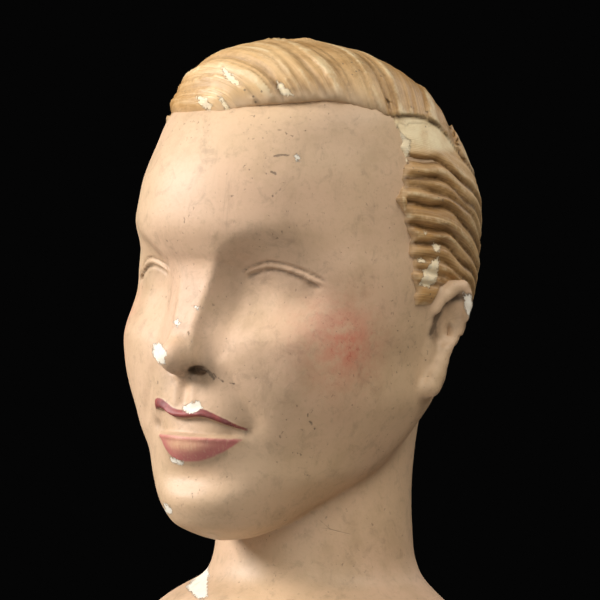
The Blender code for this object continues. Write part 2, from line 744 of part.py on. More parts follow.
def finger(path, root, tip):
    """A tapered round finger along a smooth path, with a rounded end."""
    points = [Vector(p) for p in smooth_stations(path, 2)]
    rings = []
    last = len(points) - 1
    for k, at in enumerate(points):
        ahead = (points[min(k + 1, last)] - points[max(k - 1, 0)]).normalized()
        across = ahead.cross(Vector((0, 1, 0))).normalized()
        forward = across.cross(ahead)
        r = root + (tip - root) * k / last
        rings.append(oval(at, across, forward, r, r, r, 8))
        if k == last:
            for share, shrink in ((0.6, 0.8), (0.95, 0.3)):
                s = r * shrink
                rings.append(oval(at + ahead * (r * share), across, forward, s, s, s, 8))
    return loft("finger", rings)


def make_hand(name, side):
    wrist = ARM[-1]
    base = Matrix.Translation((wrist[1], wrist[2], WRIST_Z - GAP))
    hand = upright(f"{name}_hand", PALM, 14, 1, finish=SKIN)
    join(hand, *[finger(*f) for f in FINGERS])
    peg_hole = rod("peg_hole", PEG_RADIUS + GAP, -0.026, 0.01, (0, 0, 0), None, sides=16)
    cut(hand, peg_hole)
    peg = rod(f"{name}_hand_peg", PEG_RADIUS, -0.0252, 0.018, (0, 0, 0), WOOD, sides=16)
    for obj in (hand, peg):
        obj.data.transform(base)
        mirrored(obj, side)
    return [hand, peg]


def body(name, pivot, pieces, parent=None):
    """Hangs a body's pieces on an empty that stands on its joint's axis."""
    empty = bpy.data.objects.new("body_" + name, None)
    FIGURE.objects.link(empty)
    empty.location = pivot
    if parent:
        empty.parent = parent
        empty.location = Vector(pivot) - parent.matrix_world.translation
    bpy.context.view_layer.update()
    for piece in pieces:
        piece.parent = empty
        piece.matrix_parent_inverse = empty.matrix_world.inverted()
    return empty


def make_figure():
    stand, clamp = make_stand()
    lower = make_lower_body()
    left_leg = make_left_leg()
    upper = make_bust()

    waist_at = (0, WAIST_Y)
    waist_spigot, waist_pin, waist_socket = bayonet("waist", waist_at, WAIST_Z, 1, WAIST_SHANK, WAIST_DEPTH)
    thigh_at = along(LEFT_LEG_AXIS, THIGH_Z)
    thigh_spigot, thigh_pin, thigh_socket = bayonet("thigh", thigh_at, THIGH_Z, -1, THIGH_SHANK, THIGH_DEPTH)

    upper += [waist_spigot, waist_pin]
    lower += [waist_socket, thigh_socket]
    left_leg += [thigh_spigot, thigh_pin]
    seat = DISC + 2 * GAP + PLATE
    upper += flange_screws("waist_spigot", upper[1], waist_spigot, waist_at, WAIST_Z + seat, 1)
    lower += flange_screws("waist_socket", lower[2], waist_socket, waist_at, WAIST_Z - seat, -1)

    for name, side in (("left", 1), ("right", -1)):
        upper += make_shoulder(name, side)
    root = body("stand", (0, 0, 0), stand)
    body("clamp", (ROD_X, ROD_Y, CLAMP_Z), clamp, root)
    lower_body = body("lower_body", (ROD_X, ROD_Y, 0.035), lower, root)
    body("left_leg", (*thigh_at, THIGH_Z), left_leg, lower_body)
    upper_body = body("upper_body", (0, WAIST_Y, WAIST_Z), upper, lower_body)
    for name, side in (("left", 1), ("right", -1)):
        shoulder = (side * SHOULDER_X, SHOULDER_Y, SHOULDER_Z)
        arm = body(f"{name}_arm", shoulder, make_arm(name, side), upper_body)
        wrist = (side * ARM[-1][1], ARM[-1][2], WRIST_Z)
        body(f"{name}_hand", wrist, make_hand(name, side), arm)


make_figure()
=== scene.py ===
"""Looks of the display mannequin: sculpted castings, moulded hair, paint, chips and fittings."""

import math

import bmesh
import bpy
import numpy as np
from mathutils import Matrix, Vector


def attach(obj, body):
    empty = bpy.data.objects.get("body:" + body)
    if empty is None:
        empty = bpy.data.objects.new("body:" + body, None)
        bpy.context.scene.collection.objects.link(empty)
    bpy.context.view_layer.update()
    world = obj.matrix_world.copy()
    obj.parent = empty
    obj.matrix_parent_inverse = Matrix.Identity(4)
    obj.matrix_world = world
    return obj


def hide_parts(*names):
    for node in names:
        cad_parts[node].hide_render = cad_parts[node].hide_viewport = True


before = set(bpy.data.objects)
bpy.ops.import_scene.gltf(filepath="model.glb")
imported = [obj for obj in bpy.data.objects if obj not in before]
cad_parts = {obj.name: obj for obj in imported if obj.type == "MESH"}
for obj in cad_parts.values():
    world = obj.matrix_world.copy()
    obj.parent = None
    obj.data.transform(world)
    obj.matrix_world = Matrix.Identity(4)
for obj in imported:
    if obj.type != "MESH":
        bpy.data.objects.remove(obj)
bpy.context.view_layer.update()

# The sculpting code is in millimetres. A head point is measured from the middle of the ear axis.
MM = 0.001
EAR = np.array([0.0, 30.0, 1710.0])
# How much wider the sculpting grids are when a quick result is wanted
GRID_SCALE = 1.0

# ---------------------------------------------------------------- placing things
def add_object(name, data):
    obj = bpy.data.objects.new(name, data)
    bpy.context.scene.collection.objects.link(obj)
    return obj

def aim(obj, azimuth, elevation, distance, target):
    """Puts a camera or light at an angle, in degrees, and a distance from its target, looking at it."""
    a, e = math.radians(azimuth), math.radians(elevation)
    out = Vector((math.sin(a) * math.cos(e), -math.cos(a) * math.cos(e), math.sin(e)))
    obj.location = Vector(target) + out * distance
    obj.rotation_euler = (-out).to_track_quat("-Z", "Y").to_euler()

# ---------------------------------------------------------------- camera
CAMERA_DISTANCE = 1.62
VIEW_WIDTH = 0.282
SENSOR = 36
camera_data = bpy.data.cameras.new("camera")
camera = add_object("camera", camera_data)
bpy.context.scene.camera = camera
aim(camera, 40, 3, CAMERA_DISTANCE, (0.0, 0.030, 1.7275))
camera_data.sensor_width = SENSOR
camera_data.lens = SENSOR * CAMERA_DISTANCE / VIEW_WIDTH
camera_data.clip_start = 0.05
camera_data.clip_end = 60
camera_data.shift_x = -0.010

# ---------------------------------------------------------------- implicit shapes, in millimetres
def smooth_min(a, b, k):
    h = np.clip(0.5 + 0.5 * (b - a) / k, 0, 1)
    return b + (a - b) * h - k * h * (1 - h)


def smooth_max(a, b, k):
    return -smooth_min(-a, -b, k)


def ramp(x, low, high):
    t = np.clip((x - low) / (high - low), 0, 1)
    return t * t * (3 - 2 * t)


def bump(x, centre, width):
    return np.exp(-(((x - centre) / width) ** 2))


def dense(table, steps=12):
    """The rows of a table, with Catmull-Rom steps between them, as an array."""
    rows = np.array(table, float)
    ends = np.vstack([2 * rows[0] - rows[1], rows, 2 * rows[-1] - rows[-2]])
    found = []
    for i in range(1, len(ends) - 2):
        a, b, c, d = ends[i - 1 : i + 3]
        for k in range(steps):
            t = k / steps
            bend = (2 * a - 5 * b + 4 * c - d) * t**2 + (3 * b - a - 3 * c + d) * t**3
            found.append(0.5 * (2 * b + (c - a) * t + bend))
    found.append(rows[-1])
    return np.array(found)


def section(p, table, power=2.0):
    """Distance-like value for level sections: z, centre x, centre y, half width, front, back, power."""
    z = np.clip(p[:, 2], table[0, 0], table[-1, 0])
    get = lambda k: np.interp(z, table[:, 0], table[:, k])
    dx, dy = p[:, 0] - get(1), p[:, 1] - get(2)
    w = np.maximum(get(3), 0.5)
    depth = np.maximum(np.where(dy < 0, get(4), get(5)), 0.5)
    n = get(6) if table.shape[1] > 6 else power
    q = ((np.abs(dx) / w) ** n + (np.abs(dy) / depth) ** n) ** (1 / n)
    r = np.hypot(dx, dy)
    value = np.where(q > 1e-4, r * (1 - 1 / np.maximum(q, 1e-4)), -np.minimum(w, depth))
    value = np.maximum(value, -np.minimum(w, depth))
    over = np.maximum(p[:, 2] - table[-1, 0], table[0, 0] - p[:, 2])
    return np.maximum(value, over)


def ellipsoid(p, centre, radii, turn=0.0, about=0):
    d = p - np.array(centre, float)
    if turn:
        c, s = math.cos(turn), math.sin(turn)
        i, j = [k for k in range(3) if k != about]
        d = d.copy()
        di, dj = d[:, i] * c + d[:, j] * s, -d[:, i] * s + d[:, j] * c
        d[:, i], d[:, j] = di, dj
    radii = np.array(radii, float)
    k0 = np.linalg.norm(d / radii, axis=1)
    k1 = np.linalg.norm(d / radii**2, axis=1)
    return np.where(k1 > 1e-6, k0 * (k0 - 1) / np.maximum(k1, 1e-6), -radii.min())


def pair(p, centre, radii):
    """An ellipsoid on the left and its mirror image on the right."""
    x, y, z = centre
    return np.minimum(ellipsoid(p, centre, radii), ellipsoid(p, (-x, y, z), radii))

def cone(p, a, b, ra, rb):
    """Round cone between two points."""
    a, b = np.array(a, float), np.array(b, float)
    axis = b - a
    t = np.clip((p - a) @ axis / (axis @ axis), 0, 1)
    near = a + t[:, None] * axis
    return np.linalg.norm(p - near, axis=1) - (ra + (rb - ra) * t)


def chain(p, points, radii, k):
    """Round cones from point to point, joined."""
    value = None
    for (a, b), (ra, rb) in zip(zip(points, points[1:]), zip(radii, radii[1:])):
        one = cone(p, a, b, ra, rb)
        value = one if value is None else smooth_min(value, one, k)
    return value


def curve_distance(u, v, points):
    """Distance in a plane from (u, v) to a line of points, and how far along it, 0 to 1."""
    best = np.full(u.shape, 1e9)
    along = np.zeros(u.shape)
    count = len(points) - 1
    for i in range(count):
        (u0, v0), (u1, v1) = points[i], points[i + 1]
        du, dv = u1 - u0, v1 - v0
        t = np.clip(((u - u0) * du + (v - v0) * dv) / (du * du + dv * dv), 0, 1)
        d = np.hypot(u - u0 - t * du, v - v0 - t * dv)
        closer = d < best
        best = np.where(closer, d, best)
        along = np.where(closer, (i + t) / count, along)
    return best, along


def signed_polygon(u, v, points):
    """Distance to a closed outline, negative inside it."""
    best = np.full(u.shape, 1e9)
    inside = np.zeros(u.shape, bool)
    for (u0, v0), (u1, v1) in zip(points, points[1:] + points[:1]):
        du, dv = u1 - u0, v1 - v0
        t = np.clip(((u - u0) * du + (v - v0) * dv) / (du * du + dv * dv), 0, 1)
        best = np.minimum(best, np.hypot(u - u0 - t * du, v - v0 - t * dv))
        crosses = (v0 > v) != (v1 > v)
        if dv:
            inside ^= crosses & (u < (v - v0) * du / dv + u0)
    return np.where(inside, -best, best)


# ---------------------------------------------------------------- meshing of an implicit shape
def spaced(stops):
    """Grid lines from (start, spacing) stops; the last stop only ends the run."""
    lines = [stops[0][0]]
    for (start, step), (end, next_step) in zip(stops, stops[1:]):
        while lines[-1] < end - 1e-6:
            t = (lines[-1] - start) / (end - start)
            lines.append(lines[-1] + step + (next_step - step) * t)
    return np.array(lines)


BATCH = 400000

def sample(field, xs, ys, zs, coarse=5):
    """Field values on a grid. Far from the surface, a coarse grid's value stands in."""
    shape = (len(xs), len(ys), len(zs))
    picks = [np.unique(np.append(np.arange(0, n, coarse), n - 1)) for n in shape]
    rough = np.meshgrid(xs[picks[0]], ys[picks[1]], zs[picks[2]], indexing="ij")
    rough_values = field(np.stack([g.ravel() for g in rough], 1)).reshape(rough[0].shape)
    reach = [np.diff(lines[picked]).max() for lines, picked in zip((xs, ys, zs), picks)]
    limit = np.linalg.norm(reach) * 1.15
    near = np.abs(rough_values) < limit
    cell = near[:-1, :-1, :-1].copy()
    for i in (0, 1):
        for j in (0, 1):
            for k in (0, 1):
                cell |= near[i : i + cell.shape[0], j : j + cell.shape[1], k : k + cell.shape[2]]
    owner = []
    for a in range(3):
        index = np.searchsorted(picks[a], np.arange(shape[a]), side="right") - 1
        owner.append(np.clip(index, 0, cell.shape[a] - 1))
    sign = rough_values[:-1, :-1, :-1]
    values = sign[np.ix_(*owner)].copy()
    wanted = cell[np.ix_(*owner)]
    found = np.nonzero(wanted)
    points = np.stack([xs[found[0]], ys[found[1]], zs[found[2]]], 1)
    done = np.empty(len(points))
    for start in range(0, len(points), BATCH):
        done[start : start + BATCH] = field(points[start : start + BATCH])
    values[found] = done
    return values


def surface_net(values, xs, ys, zs):
    """Vertices and quads of the zero surface on a grid with uneven lines."""
    inside = values < 0
    corners = [(i, j, k) for i in (0, 1) for j in (0, 1) for k in (0, 1)]
    nx, ny, nz = (n - 1 for n in values.shape)
    count = np.zeros((nx, ny, nz), np.int8)
    for i, j, k in corners:
        count += inside[i : i + nx, j : j + ny, k : k + nz]
    cells = np.nonzero((count > 0) & (count < 8))
    number = -np.ones((nx, ny, nz), np.int64)
    number[cells] = np.arange(len(cells[0]))
    total = np.zeros((len(cells[0]), 3))
    hits = np.zeros(len(cells[0]))
    lines = (xs, ys, zs)
    edges = []
    for a in corners:
        edges += [(a, b) for b in corners if sum(b) == sum(a) + 1 and all(p <= q for p, q in zip(a, b))]
    for a, b in edges:
        va = values[cells[0] + a[0], cells[1] + a[1], cells[2] + a[2]]
        vb = values[cells[0] + b[0], cells[1] + b[1], cells[2] + b[2]]
        cross = (va < 0) != (vb < 0)
        t = np.where(cross, va / np.where(cross, va - vb, 1), 0)
        for axis in range(3):
            pa = lines[axis][cells[axis] + a[axis]]
            pb = lines[axis][cells[axis] + b[axis]]
            total[:, axis] += np.where(cross, pa + (pb - pa) * t, 0)
        hits += cross
    points = total / hits[:, None]
    quads = []
    for axis in range(3):
        lead = [slice(None)] * 3
        trail = [slice(None)] * 3
        lead[axis], trail[axis] = slice(0, -1), slice(1, None)
        a, b = inside[tuple(lead)], inside[tuple(trail)]
        u, v = [(1, 2), (2, 0), (0, 1)][axis]
        for first, flip in ((a & ~b, False), (~a & b, True)):
            where = list(np.nonzero(first))
            keep = (where[u] > 0) & (where[v] > 0)
            keep &= (where[u] < values.shape[u] - 1) & (where[v] < values.shape[v] - 1)
            where = [w[keep] for w in where]
            ring = []
            for du, dv in ((-1, -1), (0, -1), (0, 0), (-1, 0)):
                at = [w.copy() for w in where]
                at[u] = at[u] + du
                at[v] = at[v] + dv
                ring.append(number[tuple(at)])
            quad = np.stack(ring, 1)
            quads.append(quad[:, ::-1] if flip else quad)
    return points, np.vstack(quads)


def slopes(field, points, h=0.15):
    """The field's gradient, from its values h either side."""
    grad = np.empty_like(points)
    for axis in range(3):
        step = np.zeros(3)
        step[axis] = h
        grad[:, axis] = (field(points + step) - field(points - step)) / (2 * h)
    return grad


def pull(field, points, rounds=3, most=1.2):
    """Moves points onto the zero surface."""
    for _ in range(rounds):
        value = field(points)
        grad = slopes(field, points)
        size = np.maximum((grad**2).sum(1), 0.05)
        step = grad * (value / size)[:, None]
        length = np.linalg.norm(step, axis=1, keepdims=True)
        points = points - step * np.minimum(1, most / np.maximum(length, 1e-9))
    return points


def split(points, quads, chosen):
    """Cuts the chosen faces into four, and their neighbours to match."""
    mesh = bpy.data.meshes.new("split")
    mesh.from_pydata(points.tolist(), [], [list(face) for face in quads])
    work = bmesh.new()
    work.from_mesh(mesh)
    bpy.data.meshes.remove(mesh)
    work.faces.ensure_lookup_table()
    edges = {edge for i in np.nonzero(chosen)[0] for edge in work.faces[i].edges}
    bmesh.ops.subdivide_edges(work, edges=sorted(edges, key=lambda e: e.index), cuts=1, use_grid_fill=True)
    work.verts.index_update()
    points = np.array([v.co for v in work.verts])
    faces = [[v.index for v in face.verts] for face in work.faces]
    work.free()
    return points, faces


def sculpt(name, field, x_stops, y_stops, z_stops, finish, scale=1.0, finer=()):
    """A closed mesh of an implicit shape, in metres. Each test in finer picks faces to cut in four."""
    coarser = GRID_SCALE * scale
    lines = [spaced([(at, step * coarser) for at, step in stops]) for stops in (x_stops, y_stops, z_stops)]
    values = sample(field, *lines)
    points, quads = surface_net(values, *lines)
    points = pull(field, points)
    for level in finer:
        middles = np.array([points[list(face)].mean(0) for face in quads])
        points, quads = split(points, quads, level(middles))
        points = pull(field, points, 2, 0.8)
    return mesh_object(name, points * MM, quads, finish), points


def mesh_object(name, points, faces, finish):
    mesh = bpy.data.meshes.new(name)
    mesh.from_pydata(points.tolist(), [], [list(face) for face in faces])
    mesh.validate()
    mesh.shade_smooth()
    mesh.materials.append(finish)
    return add_object(name, mesh)

def layer(obj, name, values):
    """A number for each vertex, which a material can read."""
    attribute = obj.data.attributes.new(name, "FLOAT", "POINT")
    attribute.data.foreach_set("value", np.asarray(values, np.float32))


# ---------------------------------------------------------------- paint and other finishes
class Finish:
    """A node material, built by calls that each add one node and give back its output."""

    def __init__(self, name):
        self.material = bpy.data.materials.new(name)
        self.material.use_nodes = True
        self.tree = self.material.node_tree
        self.tree.nodes.clear()
        self.shader = self.node("BsdfPrincipled")
        self.tree.links.new(self.shader.outputs[0], self.node("OutputMaterial").inputs[0])
        self.place = self.node("TexCoord").outputs["Object"]

    def node(self, kind, **inputs):
        """A new node, with the inputs named here set or linked."""
        made = self.tree.nodes.new("ShaderNode" + kind)
        for name, value in inputs.items():
            self.put(made.inputs[name], value)
        return made

    def put(self, socket, value):
        if isinstance(value, bpy.types.NodeSocket):
            self.tree.links.new(value, socket)
        elif socket.type == "RGBA" and len(value) == 3:
            socket.default_value = (*value, 1)
        else:
            socket.default_value = value

    def attribute(self, name):
        made = self.node("Attribute")
        made.attribute_name = name
        return made.outputs["Fac"]

    def stretched(self, stretch, at):
        if stretch is None and at is None:
            return self.place
        made = self.node("Mapping", Vector=self.place, Scale=stretch or (1, 1, 1), Location=at or (0, 0, 0))
        return made.outputs[0]

    def noise(self, scale, detail=3.0, rough=0.55, stretch=None, at=None, warp=0.0):
        place = self.stretched(stretch, at)
        made = self.node("TexNoise", Scale=scale, Detail=detail, Roughness=rough, Distortion=warp, Vector=place)
        return made.outputs[0]

    def strand_noise(self, name, scale, detail):
        """Noise along one attribute only, which makes streaks along a strand."""
        made = self.node("TexNoise", Scale=scale, Detail=detail)
        made.noise_dimensions = "1D"
        self.put(made.inputs["W"], self.attribute(name))
        return made.outputs[0]

    def cells(self, scale, feature="F1", stretch=None, at=None):
        made = self.node("TexVoronoi", Scale=scale, Vector=self.stretched(stretch, at))
        made.feature = feature
        return made.outputs["Distance"]

    def calc(self, kind, a, b):
        made = self.node("Math")
        made.operation = kind
        self.put(made.inputs[0], a)
        self.put(made.inputs[1], b)
        return made.outputs[0]

    def times(self, a, b):
        return self.calc("MULTIPLY", a, b)

    def plus(self, a, b):
        return self.calc("ADD", a, b)

    def minus(self, a, b):
        return self.calc("SUBTRACT", a, b)

    def step(self, value, low, high, to_low=0.0, to_high=1.0):
        """A smooth step from to_low to to_high as the value goes from low to high."""
        ends = {"From Min": low, "From Max": high, "To Min": to_low, "To Max": to_high}
        made = self.node("MapRange", Value=value, **ends)
        made.interpolation_type = "SMOOTHSTEP"
        return made.outputs[0]

    def mix(self, amount, a, b):
        made = self.node("Mix")
        made.data_type = "RGBA"
        for socket, value in ((0, amount), (6, a), (7, b)):
            self.put(made.inputs[socket], value)
        return made.outputs[2]

    def finish(self, colour, roughness, height, distance, strength, coat=0.0):
        self.put(self.shader.inputs["Base Color"], colour)
        self.put(self.shader.inputs["Roughness"], roughness)
        if coat:
            self.shader.inputs["Coat Weight"].default_value = coat
            self.shader.inputs["Coat Roughness"].default_value = 0.35
        made = self.node("Bump", Strength=strength, Distance=distance, Height=height)
        self.put(self.shader.inputs["Normal"], made.outputs[0])
        return self.material

FLESH = (0.60, 0.42, 0.255)
FLESH_PINK = (0.64, 0.425, 0.28)
FLESH_TAN = (0.44, 0.30, 0.17)
PLASTER = (0.84, 0.78, 0.66)
# Dark brown for real dirt, scratches and chip rims, and also for the painted shade in the face's creases and
# hollows
DIRT_AND_SHADE = (0.17, 0.115, 0.07)
DARK_LIP = (0.15, 0.010, 0.018)
LIP = (0.50, 0.115, 0.125)
LIP_ORANGE = (0.62, 0.36, 0.20)
LIP_RED = (0.29, 0.036, 0.036)
LIP_LINES = (0.68, 0.44, 0.30)
ROUGE = (0.62, 0.075, 0.045)
ROUGE_SPOT = (0.42, 0.05, 0.03)
ROUGE_DOT = (0.16, 0.05, 0.04)
SCRATCH = (0.10, 0.07, 0.045)
STAINED_PLASTER = (0.62, 0.55, 0.43)


def aged_flesh(f):
    """Flesh paint with mottling, dirt smears, specks and fine scratches. Gives its colour and height."""
    broad = f.noise(7, 4, 0.6)
    mottle = f.noise(38, 5, 0.62)
    grain = f.noise(420, 4, 0.6)
    colour = f.mix(f.step(broad, 0.35, 0.68), FLESH, FLESH_PINK)
    colour = f.mix(f.step(mottle, 0.46, 0.74, 0, 0.55), colour, FLESH_TAN)
    colour = f.mix(f.step(grain, 0.52, 0.72, 0, 0.22), colour, FLESH_TAN)
    smear = f.noise(30, 6, 0.72, (1.0, 1.0, 0.5), (3.1, 0.4, 1.7), 1.0)
    colour = f.mix(f.step(smear, 0.54, 0.76, 0, 0.34), colour, DIRT_AND_SHADE)
    dusting = f.noise(130, 5, 0.7, None, (9.1, 2.4, 6.6), 0.5)
    colour = f.mix(f.step(dusting, 0.50, 0.70, 0, 0.22), colour, DIRT_AND_SHADE)
    sparse = f.noise(40, 3, 0.6, None, (5.0, 2.0, 9.0))
    speck = f.noise(620, 2, 0.5, (1.0, 1.0, 0.8), (0.7, 0.2, 0.5), 0.4)
    specks = f.times(f.step(speck, 0.685, 0.73), f.step(sparse, 0.46, 0.60, 0.25, 1.0))
    pits = f.times(f.step(f.cells(120), 0.035, 0.055, 1, 0), f.step(sparse, 0.50, 0.58))
    specks = f.calc("MAXIMUM", specks, pits)
    colour = f.mix(f.times(specks, 0.55), colour, DIRT_AND_SHADE)
    scratch_line = f.cells(17, "DISTANCE_TO_EDGE", (1.0, 1.0, 2.4), (0.3, 0.8, 0.1))
    scratched = f.step(f.noise(31, 3, 0.6), 0.62, 0.68)
    scratch = f.times(f.step(scratch_line, 0.002, 0.009, 1, 0), scratched)
    colour = f.mix(f.times(scratch, 0.35), colour, DIRT_AND_SHADE)
    strokes = f.noise(75, 4, 0.65, (1.0, 1.0, 0.3), (0.4, 8.2, 3.3), 0.7)
    height = f.plus(f.times(mottle, 0.5), f.times(grain, 0.28))
    height = f.plus(height, f.times(strokes, 0.5))
    height = f.minus(height, f.times(f.calc("MAXIMUM", specks, scratch), 0.35))
    return colour, height, broad


def chipped(f, colour, height, bare_colour):
    """Adds the chips: bare plaster inside each outline, with a dark rim and a step down."""
    ragged = f.times(f.minus(f.noise(560, 5, 0.75), 0.5), 5.6)
    distance = f.plus(f.attribute("chip"), ragged)
    bare = f.step(distance, -0.12, 0.12, 1, 0)
    rim = f.times(f.step(distance, 0.10, 0.75, 1, 0), f.step(distance, -0.1, 0.1))
    plaster = f.mix(f.step(f.noise(240, 5, 0.65), 0.42, 0.72, 0, 0.6), bare_colour, STAINED_PLASTER)
    colour = f.mix(f.times(rim, 0.28), colour, DIRT_AND_SHADE)
    colour = f.mix(bare, colour, plaster)
    height = f.minus(height, f.times(bare, 1.3))
    return colour, height, bare


def head_paint():
    f = Finish("head_paint")
    colour, height, broad = aged_flesh(f)
    crack = f.noise(900, 3, 0.6)
    spotty = f.noise(150, 4, 0.7)
    rouge = f.times(f.attribute("rouge"), f.step(spotty, 0.30, 0.62, 0.25, 1.0))
    colour = f.mix(f.times(rouge, 0.9), colour, ROUGE)
    sore = f.times(f.attribute("rouge"), f.step(f.noise(260, 5, 0.75, None, (2, 2, 2)), 0.55, 0.66))
    colour = f.mix(f.times(sore, 0.8), colour, ROUGE_SPOT)
    dots = f.times(f.step(f.cells(420), 0.12, 0.20, 1, 0), f.step(f.attribute("rouge"), 0.15, 0.8))
    dots = f.times(dots, f.step(f.noise(120, 3, 0.6), 0.48, 0.58))
    colour = f.mix(f.times(dots, 0.75), colour, ROUGE_DOT)
    lip_edge = f.times(f.minus(f.noise(210, 3, 0.6), 0.5), 0.9)
    upper = f.step(f.plus(f.attribute("upper_lip"), lip_edge), -0.35, 0.35)
    upper_colour = f.mix(f.step(f.noise(130, 4, 0.6), 0.40, 0.66), DARK_LIP, LIP_RED)
    colour = f.mix(f.times(upper, 0.93), colour, upper_colour)
    lower = f.step(f.plus(f.attribute("lower_lip"), lip_edge), -0.5, 0.7)
    centre = f.attribute("lip_centre")
    lower_colour = f.mix(f.times(centre, f.step(spotty, 0.3, 0.6, 0.6, 1)), LIP, LIP_ORANGE)
    lines = f.noise(900, 3, 0.6, (1.0, 1.0, 0.15))
    lower_colour = f.mix(f.step(lines, 0.50, 0.68, 0, 0.3), lower_colour, LIP_LINES)
    colour = f.mix(f.times(lower, 0.85), colour, lower_colour)
    # Painted shade: the crease layer darkens the flesh towards the dark brown in the lids' undercut, under the
    # lips and nose, and in the ears
    shadow = f.times(f.attribute("painted_shade"), f.step(f.noise(170, 4, 0.65), 0.30, 0.60, 0.35, 1.0))
    colour = f.mix(f.times(shadow, 0.62), colour, DIRT_AND_SHADE)
    wobble = f.times(f.noise(600, 4, 0.75), 2.6)
    ink = f.step(f.plus(f.attribute("scratch"), wobble), 1.15, 1.65, 1, 0)
    colour = f.mix(f.times(ink, 0.62), colour, SCRATCH)
    height = f.minus(height, f.times(ink, 0.5))
    height = f.plus(height, f.times(crack, 0.12))
    colour, height, bare = chipped(f, colour, height, PLASTER)
    rough = f.plus(f.step(broad, 0.3, 0.7, 0.50, 0.62), f.times(bare, 0.3))
    return f.finish(colour, rough, height, 0.0006, 0.9, 0.03)


def body_paint():
    f = Finish("body_paint")
    colour, height, broad = aged_flesh(f)
    patch = f.noise(22, 6, 0.72, None, (1.3, 7.7, 4.1), 0.6)
    edge = f.step(patch, 0.735, 0.742)
    rim = f.times(f.step(patch, 0.715, 0.735), 0.45)
    colour = f.mix(rim, colour, DIRT_AND_SHADE)
    colour = f.mix(edge, colour, PLASTER)
    height = f.minus(height, f.times(edge, 1.2))
    rough = f.plus(f.step(broad, 0.3, 0.7, 0.42, 0.56), f.times(edge, 0.3))
    return f.finish(colour, rough, height, 0.0004, 0.8, 0.05)


CREAM = (0.92, 0.76, 0.50)
GOLD = (0.52, 0.275, 0.088)
GOLD_LIGHT = (0.70, 0.46, 0.22)
AMBER = (0.40, 0.215, 0.07)
GLAZE = (0.13, 0.062, 0.018)
STRAND_DARK = (0.27, 0.145, 0.045)
CREST = (0.80, 0.64, 0.38)
WORN_LIGHT = (1.0, 0.83, 0.52)
WORN_DARK = (0.80, 0.58, 0.31)
HAIR_SPECK = (0.08, 0.05, 0.03)


def hair_paint():
    f = Finish("hair_paint")
    broad = f.noise(16, 4, 0.6)
    colour = f.mix(f.step(broad, 0.32, 0.68), GOLD, GOLD_LIGHT)
    colour = f.mix(f.step(f.noise(38, 5, 0.65), 0.46, 0.60, 0, 0.6), colour, AMBER)
    streak = f.strand_noise("strand", 0.9, 3)
    fine = f.strand_noise("strand", 3.1, 3)
    colour = f.mix(f.step(streak, 0.50, 0.66, 0, 0.55), colour, GOLD_LIGHT)
    broken = f.step(f.noise(70, 4, 0.6), 0.40, 0.62)
    colour = f.mix(f.times(f.step(fine, 0.52, 0.68, 0, 0.7), broken), colour, STRAND_DARK)
    # Lighter cream on the raised strand crests: partly the paint's real wear there, partly a painted highlight on
    # the crests
    ridge = f.step(f.attribute("relief"), 0.05, 0.9)
    crest_wear_and_highlight = f.times(ridge, f.step(f.noise(90, 4, 0.7), 0.40, 0.62, 0.05, 0.8))
    colour = f.mix(crest_wear_and_highlight, colour, CREST)
    worn = f.attribute("worn")
    worn_colour = f.mix(f.step(f.noise(55, 5, 0.7), 0.35, 0.65), WORN_LIGHT, WORN_DARK)
    colour = f.mix(f.times(worn, 0.95), colour, worn_colour)
    glaze = f.times(f.attribute("glaze"), f.step(f.noise(120, 4, 0.7), 0.28, 0.56, 0.45, 1.0))
    colour = f.mix(f.calc("MINIMUM", f.times(glaze, 0.95), 0.92), colour, GLAZE)
    dust = f.step(f.noise(210, 6, 0.75), 0.60, 0.74, 0, 0.35)
    colour = f.mix(dust, colour, GLAZE)
    fade = f.times(f.attribute("fade"), f.step(f.noise(60, 4, 0.6), 0.3, 0.6, 0.7, 1))
    colour = f.mix(fade, colour, FLESH)
    specks = f.times(f.step(f.cells(260), 0.10, 0.18, 1, 0), f.step(f.noise(45, 2, 0.5), 0.52, 0.60))
    colour = f.mix(f.times(specks, 0.6), colour, HAIR_SPECK)
    grain = f.noise(480, 4, 0.6)
    height = f.plus(f.times(fine, 0.7), f.times(grain, 0.3))
    colour, height, bare = chipped(f, colour, height, CREAM)
    rough = f.plus(f.step(broad, 0.3, 0.7, 0.34, 0.48), f.times(bare, 0.4))
    return f.finish(colour, rough, height, 0.0004, 0.9, 0.10)


# ---------------------------------------------------------------- the head
# Level sections: height, centre x, centre y, half width, front depth, back depth, power
FACE = dense([
    (-90, 0, -58, 5, 5, 5, 2.0), (-88, 0, -57, 16, 11, 15, 2.0), (-83, 0, -54, 26, 24, 24, 2.1),
    (-76, 0, -46, 33, 37, 30, 2.2), (-69, 0, -36, 40, 49, 36, 2.2), (-60, 0, -24, 50, 59, 40, 2.2),
    (-50, 0, -13, 56, 69, 37, 2.3), (-38, 0, -4, 62, 81, 33, 2.4), (-25, 0, 0, 67, 84, 38, 2.5),
    (-8, 0, 0, 68, 84, 50, 2.55), (4, 0, 0, 70, 84, 56, 2.6), (16, 0, 0, 71, 81, 60, 2.6),
    (27, 0, 0, 71, 79, 62, 2.6), (36, 0, 0, 70.5, 79.5, 62, 2.55), (44, 0, 0, 69, 84, 64, 2.35),
    (53, 0, 2, 68.5, 89.5, 66, 2.2), (63, 0, 4, 68, 91, 70, 2.15), (76, 0, 5, 66.5, 88.5, 70, 2.15),
    (90, 0, 5, 63.5, 81, 66, 2.1), (104, 0, 4, 61, 69, 58, 2.1), (116, 0, 3, 51, 53, 48, 2.0),
    (127, 0, 2, 35, 36, 34, 2.0), (134, 0, 1, 16, 17, 16, 2.0), (136, 0, 0, 4, 4, 4, 2.0),
])
